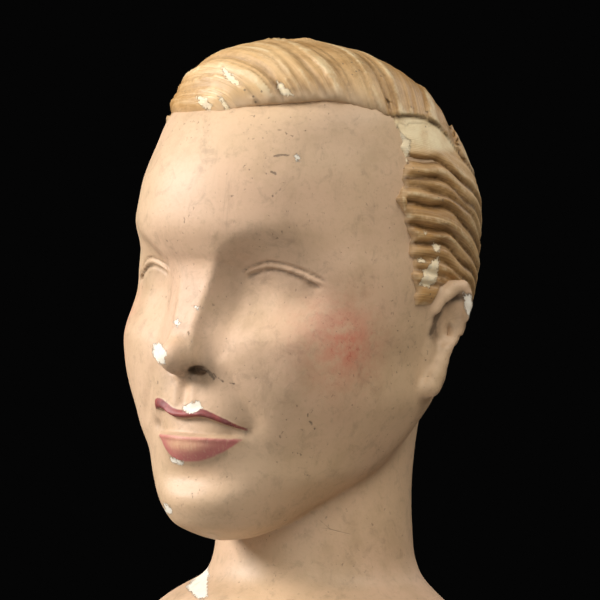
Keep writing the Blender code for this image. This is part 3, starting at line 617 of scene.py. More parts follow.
SKULL = dense([
    (-45, 0, 22, 35.5, 28, 31, 2.0), (-25, 0, 22, 44, 34, 43.5, 2.0), (0, 0, 20, 57, 47, 56.5, 2.1),
    (20, 0, 4, 69, 66, 76.5, 2.1), (40, 0, 3, 69, 68, 82.5, 2.1), (64, 0, 5, 69.5, 73, 79.5, 2.1),
    (83, 0, 4, 66.5, 73, 72.5, 2.1), (102, 0, 2, 60.5, 61, 58.5, 2.0), (116, 0, 0, 50.5, 49.5, 48.5, 2.0),
    (127, 0, -2, 36, 36, 35, 2.0), (133, 0, -3, 16, 16, 16, 2.0), (134, 0, -3, 4, 4, 4, 2.0),
])
HAIR = dense([
    (-46, 0, 22, 36.5, 29, 34, 2.0), (-25, 0, 22, 45.5, 36, 46, 2.0), (0, 0, 20, 57.5, 49, 59, 2.1),
    (20, 0, 2, 73, 72, 81.5, 2.1), (40, 0, 2, 73, 74, 88, 2.1), (64, 0, 4, 73.8, 84, 84.5, 2.1),
    (83, 0, 3, 70.5, 79, 77, 2.1), (102, 0, 2, 65, 68, 63.5, 2.1), (114, 0, -1, 58.8, 62, 56, 2.05),
    (125, 0, -4, 47.5, 55, 44, 2.0), (133.5, 0, -6, 31, 43, 28, 2.0), (138.3, 0, -9, 13, 23, 14, 2.0),
    (139.6, 0, -10, 4, 7, 4, 2.0),
])
NECK = dense([
    (-150, 0, 8, 52, 50, 50, 2.0), (-122, 0, 7, 49, 49, 48, 2.0), (-100, 0, 6, 47.5, 46.5, 46, 2.0),
    (-70, 0, 7, 45, 43, 46, 2.0), (-40, 0, 10, 46, 42, 48, 2.0), (-10, 0, 12, 50, 42, 54, 2.0),
    (10, 0, 14, 46, 40, 50, 2.0),
])
# The outline of the brow and eye socket, then the upper lid's line: across and up
SOCKET = [
    (14, -8), (14, 22), (14.2, 31), (16, 38), (21, 44), (29, 49), (39, 52.5), (50, 54), (61, 51.5),
    (70, 44), (74, 30), (72, -8),
]
LID = dense([(22.6, 31.6), (26, 34.2), (34.5, 36.6), (41, 35.8), (47, 33.4), (52, 30.4), (56.4, 27.6)], 4)
# How far the smile reaches from the middle: to the left, and to the right for each lip
MOUTH_HALF = 27.5
RIGHT_UPPER = 22.0
RIGHT_LOWER = 18.5


def lip_lines(x):
    """Heights of the upper lip's top and lower edges, and the lower lip's, for a distance from the middle."""
    t = np.clip(np.abs(x) / np.where(x > 0, MOUTH_HALF, RIGHT_UPPER), 0, 1)
    low = np.clip(np.abs(x) / np.where(x > 0, MOUTH_HALF, RIGHT_LOWER), 0, 1)
    top = -29.0 + 1.5 * bump(np.abs(x), 12, 7.5) + np.where(x > 0, -7.6 * t**3, 3.6 * ramp(-x, 4, 20))
    upper = top - np.where(x > 0, 3.2 * (1 - 0.8 * t**4), 3.2 + 1.3 * t)
    lower = -39.6 - 1.0 * t**2
    bottom = -52.2 + 11.4 * low**2.4
    return top, upper, lower, bottom


def between(z, low, high, soft):
    return ramp(z, low - soft, low + soft) * (1 - ramp(z, high - soft, high + soft))


def lid_distance(ax, z):
    """Distance from the upper lid's line, negative below it, and how far along it."""
    distance, along = curve_distance(ax, z, LID)
    lid_z = np.interp(ax, LID[:, 0], LID[:, 1])
    return np.where(z > lid_z, distance, -distance), along

def face_relief(h):
    """How far the face's fine forms stand out from its broad sections, in millimetres."""
    x, y, z = h.T
    ax = np.abs(x)
    front = 1 - ramp(y, -52, -38)
    arch = signed_polygon(ax, z, SOCKET)
    inner = 4.8 * (1 - ramp(ax, 20, 50)) * ramp(z, -14, 26)
    outer = 5.6 * (1 - ramp(ax, 44, 69)) * ramp(z, -4, 27)
    socket = -inner * ramp(-arch, -2.5, 8.0) - outer * ramp(-arch, -5.0, 23.0)
    ball = 1.3 * bump(ax, 38, 13) * bump(z, 29, 8.0)
    signed, along = lid_distance(ax, z)
    ends = ramp(along, 0.0, 0.14) * (1 - ramp(along, 0.84, 1.0))
    near = np.abs(signed) < 9
    lid = 1.0 * bump(signed, 0, 0.9) - 0.8 * bump(signed, 1.9, 0.6) - 0.9 * bump(signed, -1.7, 0.9)
    lid = lid * ends * near
    lower_lid = -0.5 * bump(np.hypot((ax - 52) / 1.6, z - (27.5 - 0.12 * (ax - 52))), 0, 1.6)
    brow = 0.4 * bump(z, 58, 7) * bump(ax, 32, 18)
    top, upper, lower, bottom = lip_lines(x)
    end = ax - np.where(x > 0, MOUTH_HALF, RIGHT_UPPER)
    low_end = ax - np.where(x > 0, MOUTH_HALF, RIGHT_LOWER)
    inside = 1 - ramp(end, -4, 1)
    rise = np.clip((top - z) / np.maximum(top - upper, 0.4), 0, 1)
    upper_lip = 1.7 * between(z, upper, top, 1.1) * (0.35 + 0.65 * rise) * inside
    teeth = -2.6 * between(z, lower, upper, 1.1) * (1 - ramp(end, -6, 0.5))
    middle = (lower + bottom) / 2
    half = np.maximum((lower - bottom) / 2, 1.2)
    lower_lip = 3.4 * bump(z, middle, half * 1.05) * (1 - ramp(low_end, -22, 1))
    lip_top = 0.8 * bump(z, lower - 1.2, 1.3) * inside
    corner = -1.6 * bump(np.hypot(end - 0.3, z + 37), 0, 3.0)
    corner = corner - 4.0 * bump(np.hypot(end - 2, (z + 37) * 0.9), 0, 10.5)
    sulcus = -1.7 * bump(z, -59, 5.5) * bump(ax, 0, 17)
    philtrum = (-1.2 * bump(x, 0, 2.8) + 0.5 * bump(ax, 5.4, 2.2)) * between(z, -27, -17, 2)
    fold_d, fold_t = curve_distance(ax, z, [(20, -6), (25, -18), (31, -30), (34, -40)])
    fold = -0.7 * bump(fold_d, 0, 3.2) * ramp(fold_t, 0, 0.2) * (1 - ramp(fold_t, 0.7, 1))
    chin = 1.0 * bump(z, -72, 9) * bump(ax, 0, 17)
    side = ax < 75
    fine = lid + lower_lid + upper_lip + teeth + lower_lip + lip_top + corner + philtrum + fold
    return (socket + ball + brow + fine + sulcus + chin) * front * side


# The nose's ridge from under the tip to the brow: heights, and how far forward it stands
RIDGE = ([-12, -3, 6, 12, 18, 30, 40, 50, 62], [-88.5, -90, -89.5, -87.5, -85, -81, -78.5, -80.5, -85])


def nose(h):
    x, y, z = h.T
    ax = np.abs(x)
    ridge = np.interp(z, RIDGE[0], RIDGE[1])
    left = np.interp(z, [-10, 0, 9, 19, 30, 42, 50, 56], [8.6, 8.6, 8.2, 9.6, 11.5, 14.5, 18, 22])
    right = np.interp(z, [-10, 0, 12, 30, 42, 50, 56], [5.2, 5.2, 5.4, 6.2, 8.8, 13.5, 20])
    half = np.where(x > 0, left, right)
    spread = np.interp(z, [-12, 5, 25, 45], [0.55, 0.42, 0.45, 0.8])
    front = ridge - y
    side = (ax - (half + (y - ridge) * spread)) / np.sqrt(1 + spread**2)
    wedge = smooth_max(front, side, 2.2)
    wedge = smooth_max(wedge, (-7.2 - z + (y + 92) * -0.06), 3)
    wedge = smooth_max(wedge, (z - 54) * 0.8, 12)
    wedge = smooth_max(wedge, y + 62, 4)
    tip = ellipsoid(h, (-0.4, -89.4, -4.2), (7.8, 9.6, 8.0))
    value = smooth_min(wedge, tip, 5.0)
    column = cone(h, (0, -90.5, -7.0), (0, -82, -12.5), 4.0, 4.0)
    return smooth_min(value, column, 3)


# The left nostril's centre and radii
NOSTRIL = ((7.6, -82.5, -10.4), (3.8, 6.5, 2.2))
EAR_CENTRE = np.array([73.0, 14.0, 1.0])
EAR_BACK = (0.35, 0.937)
EAR_OUTLINE = [
    (-9, 1, -2.5), (-8.5, 7, -1), (-6.5, 14, 0.2), (-2, 20, 0.6), (3, 24.0, 0.6), (7.6, 24.4, 0.4),
    (10.0, 21, 0.3), (10.6, 16, 0.2), (8.8, 10, 0), (6.2, 5, -0.4), (2.8, 0, -0.8), (-0.6, -5, -1.0),
    (-3.4, -10.5, -1.0), (-6, -16, -1.0), (-8.5, -21, -1.2), (-13, -22, -3.0),
]
EAR_RADII = [2.2, 2.8, 3.2, 3.5, 3.4, 3.0, 2.6, 2.4, 2.3, 2.3, 2.5, 3.0, 3.8, 4.6, 4.9, 4.4]


def ear(h):
    """The left ear, and by mirror the right one."""
    p = h.copy()
    p[:, 0] = np.abs(p[:, 0])
    d = p - EAR_CENTRE
    out, back = EAR_BACK
    q = np.stack([d[:, 0] * out + d[:, 1] * back, d[:, 2], d[:, 0] * back - d[:, 1] * out], 1)
    rim = chain(q, EAR_OUTLINE, EAR_RADII, 1.0)
    plate = ellipsoid(q, (2.5, 11, -3.0), (10.0, 15, 3.0))
    low_plate = ellipsoid(q, (-6.5, -10, -3.4), (8.5, 16, 3.6))
    value = smooth_min(smooth_min(plate, low_plate, 4), rim, 1.6)
    root = ellipsoid(q, (-7.0, 0, -10.0), (9.0, 22, 7.0))
    value = smooth_min(value, root, 4)
    dish = ellipsoid(q, (1.8, 8.2, 2.0), (7.8, 10.6, 5.6))
    value = smooth_max(value, -dish, 1.6)
    hollow = ellipsoid(q, (-5.0, 5.0, 0.0), (3.6, 7.5, 6.0), 0.25, 2)
    value = smooth_max(value, -hollow, 2.4)
    tragus = ellipsoid(q, (-10.5, -4, -2.6), (3.4, 6.5, 3.4))
    return smooth_min(value, tragus, 3.0)


def head_skin(h):
    base = smooth_min(section(h, FACE), section(h, SKULL), 8)
    base = smooth_min(base, section(h, NECK), 5)
    muzzle = ellipsoid(h, (0, -58.5, -36), (31, 27.0, 27))
    base = smooth_min(base, muzzle, 12)
    base = smooth_min(base, pair(h, (42.5, -46.5, -5), (19.5, 21.3, 26)), 12)
    value = smooth_min(base, nose(h), 5.5)
    value = value - face_relief(h)
    value = smooth_max(value, -pair(h, *NOSTRIL), 1.6)
    return smooth_min(value, ear(h), 1.6)


# ---------------------------------------------------------------- the hair
# The hairline, as degrees round the head from the front to the left, and height
LEFT_FRONT = [
    (0, 102.6), (13, 106.4), (22, 108.8), (31, 110.2), (44, 110), (56, 108.4), (66, 106), (73, 103),
    (76, 97), (77.5, 86), (75, 74), (71.5, 66), (74.5, 59), (77, 51), (77.5, 42), (78, 30),
]
RIGHT_FRONT = [
    (-78, 36), (-77, 50), (-72, 62), (-73, 76), (-72, 90), (-62, 96), (-48, 97.5), (-34, 99),
    (-20, 100.5), (-8, 101),
]
# From in front of the left ear to the nape, and by mirror on the right
EAR_TO_NAPE = [
    (79.5, 17.5), (89, 17.0), (93, 25), (99, 26), (107, 24), (114, 17), (120, 6), (126, -8), (131, -22),
    (143, -34), (162, -40), (180, -41),
]
PART = [(73, 104), (83, 104.5), (93, 103.5), (103, 99.5), (112, 92), (119, 84), (128, 78), (138, 76)]
# The length that goes with one degree round the head
ARC = math.radians(1) * 70
# The grooves of the side hair: height and strength
GROOVES = [
    (85, 1.0), (76.5, 0.9), (71, 0.75), (64.5, 1.0), (54, 0.95), (46.8, 0.95), (39.5, 0.6), (33.5, 0.6),
    (28, 0.6), (14, 0.8), (2, 0.8), (-9, 0.8), (-20, 0.7),
]


def streaks(x, seed):
    """Uneven waves of one variable, within about 1 either side of 0."""
    turns = [(1.0, 1.0, 1.9), (1.618, 0.8, 4.1), (2.71, 0.55, 0.7), (4.33, 0.4, 2.6)]
    total = sum(size * np.sin(x * rate + phase + seed * (3.1 + rate)) for rate, size, phase in turns)
    return total / 1.6


HAIRLINE = [(-a, z) for a, z in reversed(EAR_TO_NAPE)] + RIGHT_FRONT + LEFT_FRONT + EAR_TO_NAPE
HAIR_EDGE = [(a * ARC, z) for a, z in HAIRLINE] + [(184 * ARC, 190), (-184 * ARC, 190)]
PART_LINE = [(a * ARC, z) for a, z in PART]


def chart(h):
    """Degrees round the head from the front, positive to the left, and the length that goes with them."""
    x, y = h[:, 0], h[:, 1]
    angle = np.degrees(np.arctan2(x, -(y - 5)))
    return angle, angle * ARC


def strand_place(h):
    """Which strand of the swept top a place lies on: the strands run across the head and forwards."""
    x, y, z = h.T
    return y + 0.2 * x + 0.00011 * x**3 + 0.5 * (z - 120)


def strand_level(h, angle):
    """Height on the side hair, with the strands' fall towards the back taken out."""
    return h[:, 2] + 0.0065 * np.clip(np.abs(angle) - 72, 0, None) ** 2

def hair_pattern(h):
    """The moulded strands: how far they stand out, how dark the glaze lies, and where the hair is worn."""
    x, y, z = h.T
    angle, arc = chart(h)
    a = np.abs(angle)
    wave = 0.9 * np.sin(np.radians(a * 7)) + 0.5 * np.sin(np.radians(a * 17 + 40))
    level = strand_level(h, angle) + wave
    level = np.where(angle < 0, level + 4 * bump(a, 70, 40) - 2, level)
    part_d, _ = curve_distance(arc, z, PART_LINE)
    part_z = np.interp(angle, [p[0] for p in PART], [p[1] for p in PART])
    on_part = ramp(angle, 70, 75) * (1 - ramp(angle, 128, 150))
    under = on_part * (1 - ramp(z, part_z - 0.9, part_z + 0.9))
    crest = np.where(angle > 0, np.where(angle < 75, 60, part_z), 92)
    crest = np.where(a > 135, 88, crest)
    soft = 1.0 + 8.0 * (1 - ramp(angle, 66, 73)) + 8.0 * ramp(angle, 112, 134)
    top = ramp(z, crest - soft, crest + soft)
    top = np.where(a < 72, ramp(z, 84, 96), top)
    flat = under * ramp(z, 86, 90)
    side_relief = np.zeros(len(h))
    side_glaze = np.zeros(len(h))
    for at, strength in GROOVES:
        wide = 1.5 + 0.5 * strength
        wander = 0.8 * np.sin(np.radians(a * 11 + at * 37))
        offset = level - at + wander
        side_relief -= 2.6 * strength * bump(offset, 0, wide * 0.85) * (1 - 0.4 * ramp(a, 88, 115))
        side_relief += 0.7 * strength * bump(offset, 3.4, 2.4)
        side_glaze = np.maximum(side_glaze, 1.15 * strength * bump(offset, -0.2, wide * 0.62))
    flow = level + 0.8 * np.sin(np.radians(a * 5))
    side_relief += 0.22 * streaks(flow * 1.1, 4) + 0.10 * streaks(flow * 2.9, 5)
    side_glaze = np.clip(side_glaze + 0.15 * ramp(-streaks(flow * 1.1, 4), 0.3, 1.1), 0, 1)
    cross = strand_place(h)
    cross = cross + 1.2 * np.sin(x * 0.09 + y * 0.05) + 0.6 * np.sin(x * 0.19 + y * 0.11)
    lock = streaks(cross * 0.30, 1)
    strand = streaks(cross * 0.95 + 0.6 * lock, 2)
    hair_line = streaks(cross * 2.6, 3)
    valley = ramp(-lock, 0.25, 1.1)
    cut = ramp(-strand, 0.45, 1.2)
    top_relief = 0.8 * lock - 0.7 * valley**2 + 0.3 * strand - 0.45 * cut + 0.10 * hair_line
    top_glaze = np.clip(0.42 * valley + 0.34 * cut + 0.10 * ramp(-hair_line, 0.3, 1), 0, 1)
    sides = (1 - top) * (1 - flat)
    edge = part_d < 6
    relief = side_relief * sides + top_relief * top - 1.0 * under * ramp(z, 78, 88)
    relief += 0.9 * bump(part_d, 0, 2.5) * edge * (z > part_z) * on_part
    glaze = side_glaze * sides + top_glaze * top
    glaze = np.maximum(glaze, on_part * bump(z - part_z, -0.7, 0.9))
    return relief, glaze, flat


def hair_region(h):
    angle, arc = chart(h)
    level = strand_level(h, angle)
    ragged = 0.9 * np.sin(level * 0.55) + 0.5 * np.sin(level * 1.3 + 1)
    ragged = ragged * bump(np.abs(angle), 78, 9) * (h[:, 2] < 100)
    scallop = 0.8 * np.sin(np.radians(angle * 9)) * (np.abs(angle) < 66)
    return signed_polygon(arc, h[:, 2], HAIR_EDGE) + ragged + scallop


def hair_field(h):
    relief, _, _ = hair_pattern(h)
    edge = hair_region(h)
    degrees = np.abs(chart(h)[0])
    sideburn = 1.8 * bump(degrees, 84, 13) * (1 - ramp(h[:, 2], 40, 62)) * ramp(h[:, 2], 6, 14)
    thin = np.where(degrees < 70, 2.0, 0.5) * (1 - ramp(-edge, 0, 11)) - sideburn
    outer = section(h, HAIR) - relief * ramp(-edge, -1, 4) + thin
    inner = -(section(h, SKULL) + 7)
    value = smooth_max(outer, edge * 0.9, 4.0)
    return np.maximum(value, inner)


# ---------------------------------------------------------------- the bust
TRUNK = dense([
    (1110, 0, 30, 119.6, 85.6, 83.6), (1160, 0, 29, 124, 90, 86), (1240, 0, 28, 138, 100, 90),
    (1320, 0, 28, 149, 107, 92), (1380, 0, 30, 152, 103, 90), (1430, 0, 32, 155, 95, 87),
    (1468, 0, 35, 155, 82, 78), (1492, 0, 39, 153, 72, 71), (1512, 0, 41, 148, 63, 65),
    (1534, 0, 41, 133, 63, 59), (1556, 0, 40, 113, 66, 54), (1572, 0, 38, 94, 68, 50),
    (1584, 0, 36, 77, 68, 47), (1592, 0, 36, 67, 66, 45), (1600, 0, 36, 54, 55, 44),
    (1612, 0, 36, 48.5, 47, 45),
])
SHOULDER = np.array([158.0, 40.0, 1475.0])
SHOULDER_RADIUS = 50.0
WAIST_Z = 1115.0
# Half the gap between two castings, and the thickness of a casting's wall
GAP = 0.4
WALL = 8.5
# The straight-sided hollow through the waist's cut
PELVIS_TOP = np.array([(1000, 0, 30, 119.6, 85.6, 83.6), (1230, 0, 30, 119.6, 85.6, 83.6)], float)


def trunk_relief(p):
    """The muscles of the chest, back and belly, in millimetres."""
    x, y, z = p.T
    ax = np.abs(x)
    front = 1 - ramp(y, -20, 20)
    back = ramp(y, 40, 80)
    chest = 5.0 * bump(ax, 66, 44) * bump(z, 1372, 42) - 3.2 * bump(x, 0, 9) * bump(z, 1365, 55)
    under = -2.2 * bump(z, 1322 + 0.10 * ax, 7) * bump(ax, 62, 38)
    belly = -1.6 * bump(x, 0, 5) * between(z, 1150, 1320, 20) + 1.2 * bump(ax, 26, 20) * between(z, 1140, 1310, 20)
    navel = -2.5 * bump(np.hypot(x, (z - 1168) * 0.8), 0, 4.5)
    nipple = 1.2 * bump(np.hypot(ax - 78, z - 1358), 0, 4)
    pit_d, _ = curve_distance(ax, z, [(12, 1535), (40, 1548), (80, 1552), (112, 1544)])
    collar = 3.0 * bump(pit_d, 0, 8) * (1 - ramp(y, 0, 35)) * ramp(ax, 8, 20)
    spine = -3.5 * bump(x, 0, 10) * between(z, 1130, 1480, 25)
    blade = 3.0 * bump(ax, 70, 30) * bump(z, 1440, 45)
    return (chest + under + belly + navel + nipple) * front + collar + (spine + blade) * back


def stub(p):
    """The short upper-arm stumps that the arms meet."""
    q = p.copy()
    q[:, 0] = np.abs(q[:, 0])
    across = np.hypot((q[:, 1] - SHOULDER[1]), (q[:, 2] - SHOULDER[2])) - SHOULDER_RADIUS
    value = smooth_max(across, q[:, 0] - (SHOULDER[0] - GAP), 1.5)
    return np.maximum(value, 95 - q[:, 0])


def bust_field(p):
    h = p - EAR
    low = p[:, 2] < 1640
    value = np.full(len(p), 1e3)
    upper = p[:, 2] > 1580
    if upper.any():
        value[upper] = head_skin(h[upper])
    if low.any():
        body = p[low]
        trunk = section(body, TRUNK) - trunk_relief(body)
        trunk = smooth_min(trunk, stub(body), 14)
        neck = section(body - EAR, NECK)
        trunk = smooth_min(trunk, neck, 16)
        blend = ramp(body[:, 2], 1582, 1612)
        value[low] = np.where(body[:, 2] > 1580, trunk * (1 - blend) + value[low] * blend, trunk)
    value = smooth_max(value, np.abs(p[:, 0]) - (SHOULDER[0] - GAP), 1.2)
    value = smooth_max(value, WAIST_Z + GAP - p[:, 2], 1.2)
    well = np.maximum(section(p, PELVIS_TOP) + WALL, p[:, 2] - (WAIST_Z + 72))
    value = smooth_max(value, -well, 0.8)
    socket = np.hypot(p[:, 1] - SHOULDER[1], p[:, 2] - SHOULDER[2]) - (SHOULDER_RADIUS - WALL)
    socket = np.maximum(socket, (SHOULDER[0] - 27) - np.abs(p[:, 0]))
    return smooth_max(value, -socket, 0.8)


def face_front(p):
    h = p - EAR
    front = (h[:, 1] < -20) & (h[:, 2] > -92) & (h[:, 2] < 112)
    ears = (np.abs(h[:, 0]) > 64) & (h[:, 1] > -14) & (h[:, 1] < 38) & (h[:, 2] > -38) & (h[:, 2] < 44)
    return front | ears


def face_details(p):
    """The eyelids, mouth and nostrils, which take the finest faces."""
    h = p - EAR
    ax, y, z = np.abs(h[:, 0]), h[:, 1], h[:, 2]
    lids = (ax > 15) & (ax < 64) & (z > 23) & (z < 44)
    mouth = (ax < 33) & (z > -59) & (z < -21)
    under_nose = (ax < 20) & (z > -20) & (z < 3)
    return (lids | mouth | under_nose) & (y < -38)


# ---------------------------------------------------------------- damage, painted features and painted shade
# Chips, as outlines on a chart that looks at the head from 40 degrees to its left: across and up, in mm
CHART_AZIMUTH = math.radians(40)
CHART_DIP = 0.052
CHART_DISTANCE = 1620.0
FACE_CHIPS = [
    [
        (-72.4, -3.4), (-69.2, -2.2), (-67.0, -4.4), (-65.4, -7.1), (-66.4, -9.4), (-65.8, -12.0),
        (-68.8, -12.0), (-71.6, -8.6),
    ],
    [(-62, 7.8), (-60.4, 9.4), (-59, 7.4), (-60.5, 6)],
    [(-53, 14.8), (-50.6, 15.8), (-48.8, 14.4), (-51, 13.6)],
    [
        (-58.3, -32), (-54.5, -30.1), (-51.2, -29.1), (-48.4, -32), (-50.8, -33.8), (-54.5, -35.3),
        (-57.3, -34.3),
    ],
    [(-5.6, 86.5), (-3.3, 87), (-2.8, 84.1), (-4.7, 82.7)],
    [(-63.9, -55.9), (-60.6, -57.3), (-57.8, -58.3), (-58.3, -59.4), (-62, -58.8), (-64.4, -57)],
    [(-67, -77.6), (-64, -79.4), (-63, -82.7), (-66.3, -82.5)],
    [(-46.5, -105.8), (-46.1, -112.3), (-47, -123.1), (-50.3, -124), (-56.4, -118), (-50.3, -111.9)],
    [(-72.9, -120.3), (-67.7, -121), (-68, -125), (-74, -128), (-80, -124)],
    [(73.8, 21.6), (77.5, 20), (79, 12), (76.5, 9.9), (74.5, 14)],
]
HAIR_CHIPS = [
    [(-39.5, 127.4), (-36.7, 125.5), (-30.6, 119.4), (-32.9, 118.6), (-38, 122.7)],
    [(-51.7, 114), (-47.5, 113), (-44.2, 109.5), (-45.1, 106.7), (-49.8, 110)],
    [(-40.8, 113.8), (-39, 112.8), (-35, 106.2), (-37, 105.3)],
    [(-13.6, 121.6), (-10.3, 118.9), (-5.6, 113.8), (-10.8, 114.5), (-13.4, 117)],
    [
        (62.4, 38.2), (59.2, 36.3), (57.6, 33.0), (54.0, 32.0), (55.4, 29.0), (53.0, 25.6), (57.6, 24.0),
        (60.8, 26.3), (62.0, 31.5),
    ],
    [(59.6, 44.3), (63.4, 43.6), (62.4, 40.3), (60.0, 41.4)],
    [(51.6, 38.2), (55.6, 37.2), (56.2, 35.6), (52.4, 36.2)], [(55.2, 50.6), (56.8, 50.2), (56, 48.8)],
    [(42.8, 98.6), (45.6, 95.6), (48.8, 92.4), (48.6, 86.9), (47.2, 82.0), (44.1, 82.6), (43.6, 88.8)],
]
SCRATCHES = [
    ([(-44.2, 66.7), (-37.6, 66.3), (-32, 68.6), (-28.7, 70.5)], 0.1),
    ([(-15, 85.6), (-11, 86.6), (-7.5, 86.2)], 0.3), ([(-16.4, 78.6), (-14, 77.4)], 0.4),
    ([(-23, 76), (-21, 75.2)], 0.1), ([(-16.5, 66.5), (-12.7, 69.5)], 0.15),
    ([(-55.5, -14.9), (-49.8, -14.1), (-43.7, -16.5), (-39.5, -19.7), (-33.4, -21.2)], 0.2),
    ([(-46.5, -15.2), (-43.2, -18.6)], 0.5), ([(0.9, -35.3), (1.8, -39), (4.2, -42.3)], 0.2),
    ([(-1.9, -62.5), (1.4, -64.4)], 0.3), ([(-55.2, 3.4), (-53.6, -1.5)], 0.3),
    ([(30.5, 61), (37, 66)], -0.1),
]


def oblique(h):
    across = h[:, 0] * math.cos(CHART_AZIMUTH) + h[:, 1] * math.sin(CHART_AZIMUTH)
    depth = h[:, 0] * math.sin(CHART_AZIMUTH) - h[:, 1] * math.cos(CHART_AZIMUTH)
    near = CHART_DISTANCE / (CHART_DISTANCE - depth)
    return across * near, (h[:, 2] - CHART_DIP * depth) * near, depth


def chip_distance(h, outlines, deepest):
    """Distance in millimetres to the nearest chip, negative inside it."""
    u, v, depth = oblique(h)
    best = np.full(len(h), 6.0)
    for outline in outlines:
        best = np.minimum(best, signed_polygon(u, v, outline))
    return np.where(depth > deepest, best, 6.0)


def paint_bust(obj, points):
    h = points - EAR
    x, y, z = h.T
    ax = np.abs(x)
    front = (y < -36) & (z > -95) & (z < 112)
    top, upper, lower, bottom = lip_lines(x)
    end = np.where(x > 0, MOUTH_HALF, RIGHT_UPPER) + 0.5 - ax
    low_end = np.where(x > 0, MOUTH_HALF, RIGHT_LOWER) - ax
    red = np.minimum(np.minimum(top - z + 0.3, z - upper + 0.2), end * 0.8)
    round_end = 2.6 - np.hypot(x + 19.5, (z + 27.6) * 0.9) + 20 * (x > -19.5)
    red = np.where(x < 0, np.minimum(red, round_end), red)
    layer(obj, "upper_lip", np.where(front, np.clip(red, -3, 3), -3))
    pink = np.minimum(np.minimum(lower - z - 0.6, z - bottom), low_end * 0.8)
    layer(obj, "lower_lip", np.where(front, np.clip(pink, -3, 3), -3))
    layer(obj, "lip_centre", bump(z, (lower + bottom) / 2 + 1.6, 3.4) * bump(x, 2, 13))
    spot = np.linalg.norm(np.stack([ax, y, z], 1) - (55.5, -46, 2.0), axis=1)
    rouge = 0.62 * bump(spot, 0, 18) + 0.9 * bump(spot, 0, 8)
    layer(obj, "rouge", rouge)
    # Painted shade for the face's creases and hollows: dark lines above and below the raised upper lid where its
    # crease and undercut lie in shade, shade in the socket under the lid and at the inner brow (partly the paint's
    # own airbrushed brown there), under the upper lip, at the mouth's corners, along the lower lip, and under the
    # nose
    signed, along = lid_distance(ax, z)
    ends = ramp(along, 0, 0.1) * (1 - ramp(along, 0.9, 1))
    painted_shade = 0.9 * bump(signed, 1.9, 0.5) * ends + 1.0 * bump(signed, -1.6, 0.8) * ends
    painted_shade = painted_shade + 0.25 * bump(signed, -4.5, 3.5) * ends
    arch = signed_polygon(ax, z, SOCKET)
    inner_arch = bump(arch, -4, 4.5) * (1 - ramp(ax, 22, 46)) * ramp(z, 4, 34)
    painted_shade = painted_shade + 0.30 * inner_arch
    painted_shade = painted_shade + 0.5 * bump(z, upper - 1.0, 1.4) * (end > 0)
    painted_shade = painted_shade + 0.7 * bump(np.hypot(end - 0.5, z + 37), 0, 2.6)
    painted_shade = painted_shade + 0.5 * bump(z, bottom - 1.0, 1.6) * (low_end > 6)
    painted_shade = painted_shade + 0.3 * bump(z, lower + 0.2, 0.7) * (end > 2)
    painted_shade = painted_shade + 1.7 * bump(np.linalg.norm((h - (4, -84, -10.5)) * (0.6, 0.55, 1.1), axis=1), 0, 6.0)
    painted_shade = np.where(front, painted_shade, 0)
    # More painted shade on the same layer: the ear's hollow, its concha and the fold under its rim
    ear_d = np.stack([ax - EAR_CENTRE[0], y - EAR_CENTRE[1], z - EAR_CENTRE[2]], 1)
    ear_hollow = 0.5 * bump(np.linalg.norm((ear_d + (0, 5, -5)) * (0.6, 1, 0.7), axis=1), 0, 6)
    helix_line = [(-8.5, 3), (-6, 9.5), (-1, 15.5), (4.5, 19.5), (8.5, 19.5)]
    under_helix, _ = curve_distance(ear_d[:, 1], ear_d[:, 2], helix_line)
    concha = np.linalg.norm((ear_d[:, 1:] - (-4.5, 3.5)) * (1, 0.6), axis=1)
    ear_fold = (2.2 * bump(under_helix, 0, 1.6) + 0.9 * bump(concha, 0, 3.6)) * (ear_d[:, 0] > -6)
    layer(obj, "painted_shade", painted_shade + ear_hollow + ear_fold)
    layer(obj, "chip", chip_distance(h, FACE_CHIPS, -10))
    u, v, depth = oblique(h)
    scratch = np.full(len(h), 4.0)
    for line, half_width in SCRATCHES:
        distance, _ = curve_distance(u, v, line)
        scratch = np.minimum(scratch, distance - half_width)
    layer(obj, "scratch", np.where(depth > 20, scratch, 4.0))


def paint_hair(obj, points):
    h = points - EAR
    relief, glaze, flat = hair_pattern(h)
    angle, _ = chart(h)
    edge = hair_region(h)
    layer(obj, "relief", relief)
    layer(obj, "glaze", glaze)
    layer(obj, "worn", flat)
    front = (np.abs(angle) < 72) * (h[:, 2] > 95)
    layer(obj, "fade", ramp(edge, -9.5, -1.5) * front + 0.6 * ramp(edge, -2.5, 0.5) * (1 - front))
    layer(obj, "strand", np.where(h[:, 2] > 100, strand_place(h), strand_level(h, angle)))
    layer(obj, "chip", chip_distance(h, HAIR_CHIPS, -40))


head_finish = head_paint()
hair_finish = hair_paint()
bust, bust_points = sculpt(
    "bust_skin",
    bust_field,
    [(-170, 6), (-110, 5.5), (-88, 2.7), (88, 2.7), (110, 5.5), (170, 6)],
    [(-90, 4.5), (-84, 2.6), (64, 2.6), (70, 3.5), (150, 5)],
    [(1105, 5.5), (1480, 5.5), (1560, 4), (1600, 2.7), (1770, 2.7), (1790, 3.2), (1860, 3.2)],
    head_finish,
    scale=1.15,
    finer=(face_front, face_details),
)
paint_bust(bust, bust_points)
hair, hair_points = sculpt(
    "hair",
    lambda p: hair_field(p - EAR),
    [(-82, 1.6), (-60, 1.4), (84, 1.3)],
    [(-70, 1.4), (60, 1.4), (124, 1.8)],
    [(1660, 1.5), (1700, 1.35), (1856, 1.35)],
    hair_finish,
)
paint_hair(hair, hair_points)
for piece in (bust, hair):
    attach(piece, "upper_body")
    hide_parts("bust_shell")


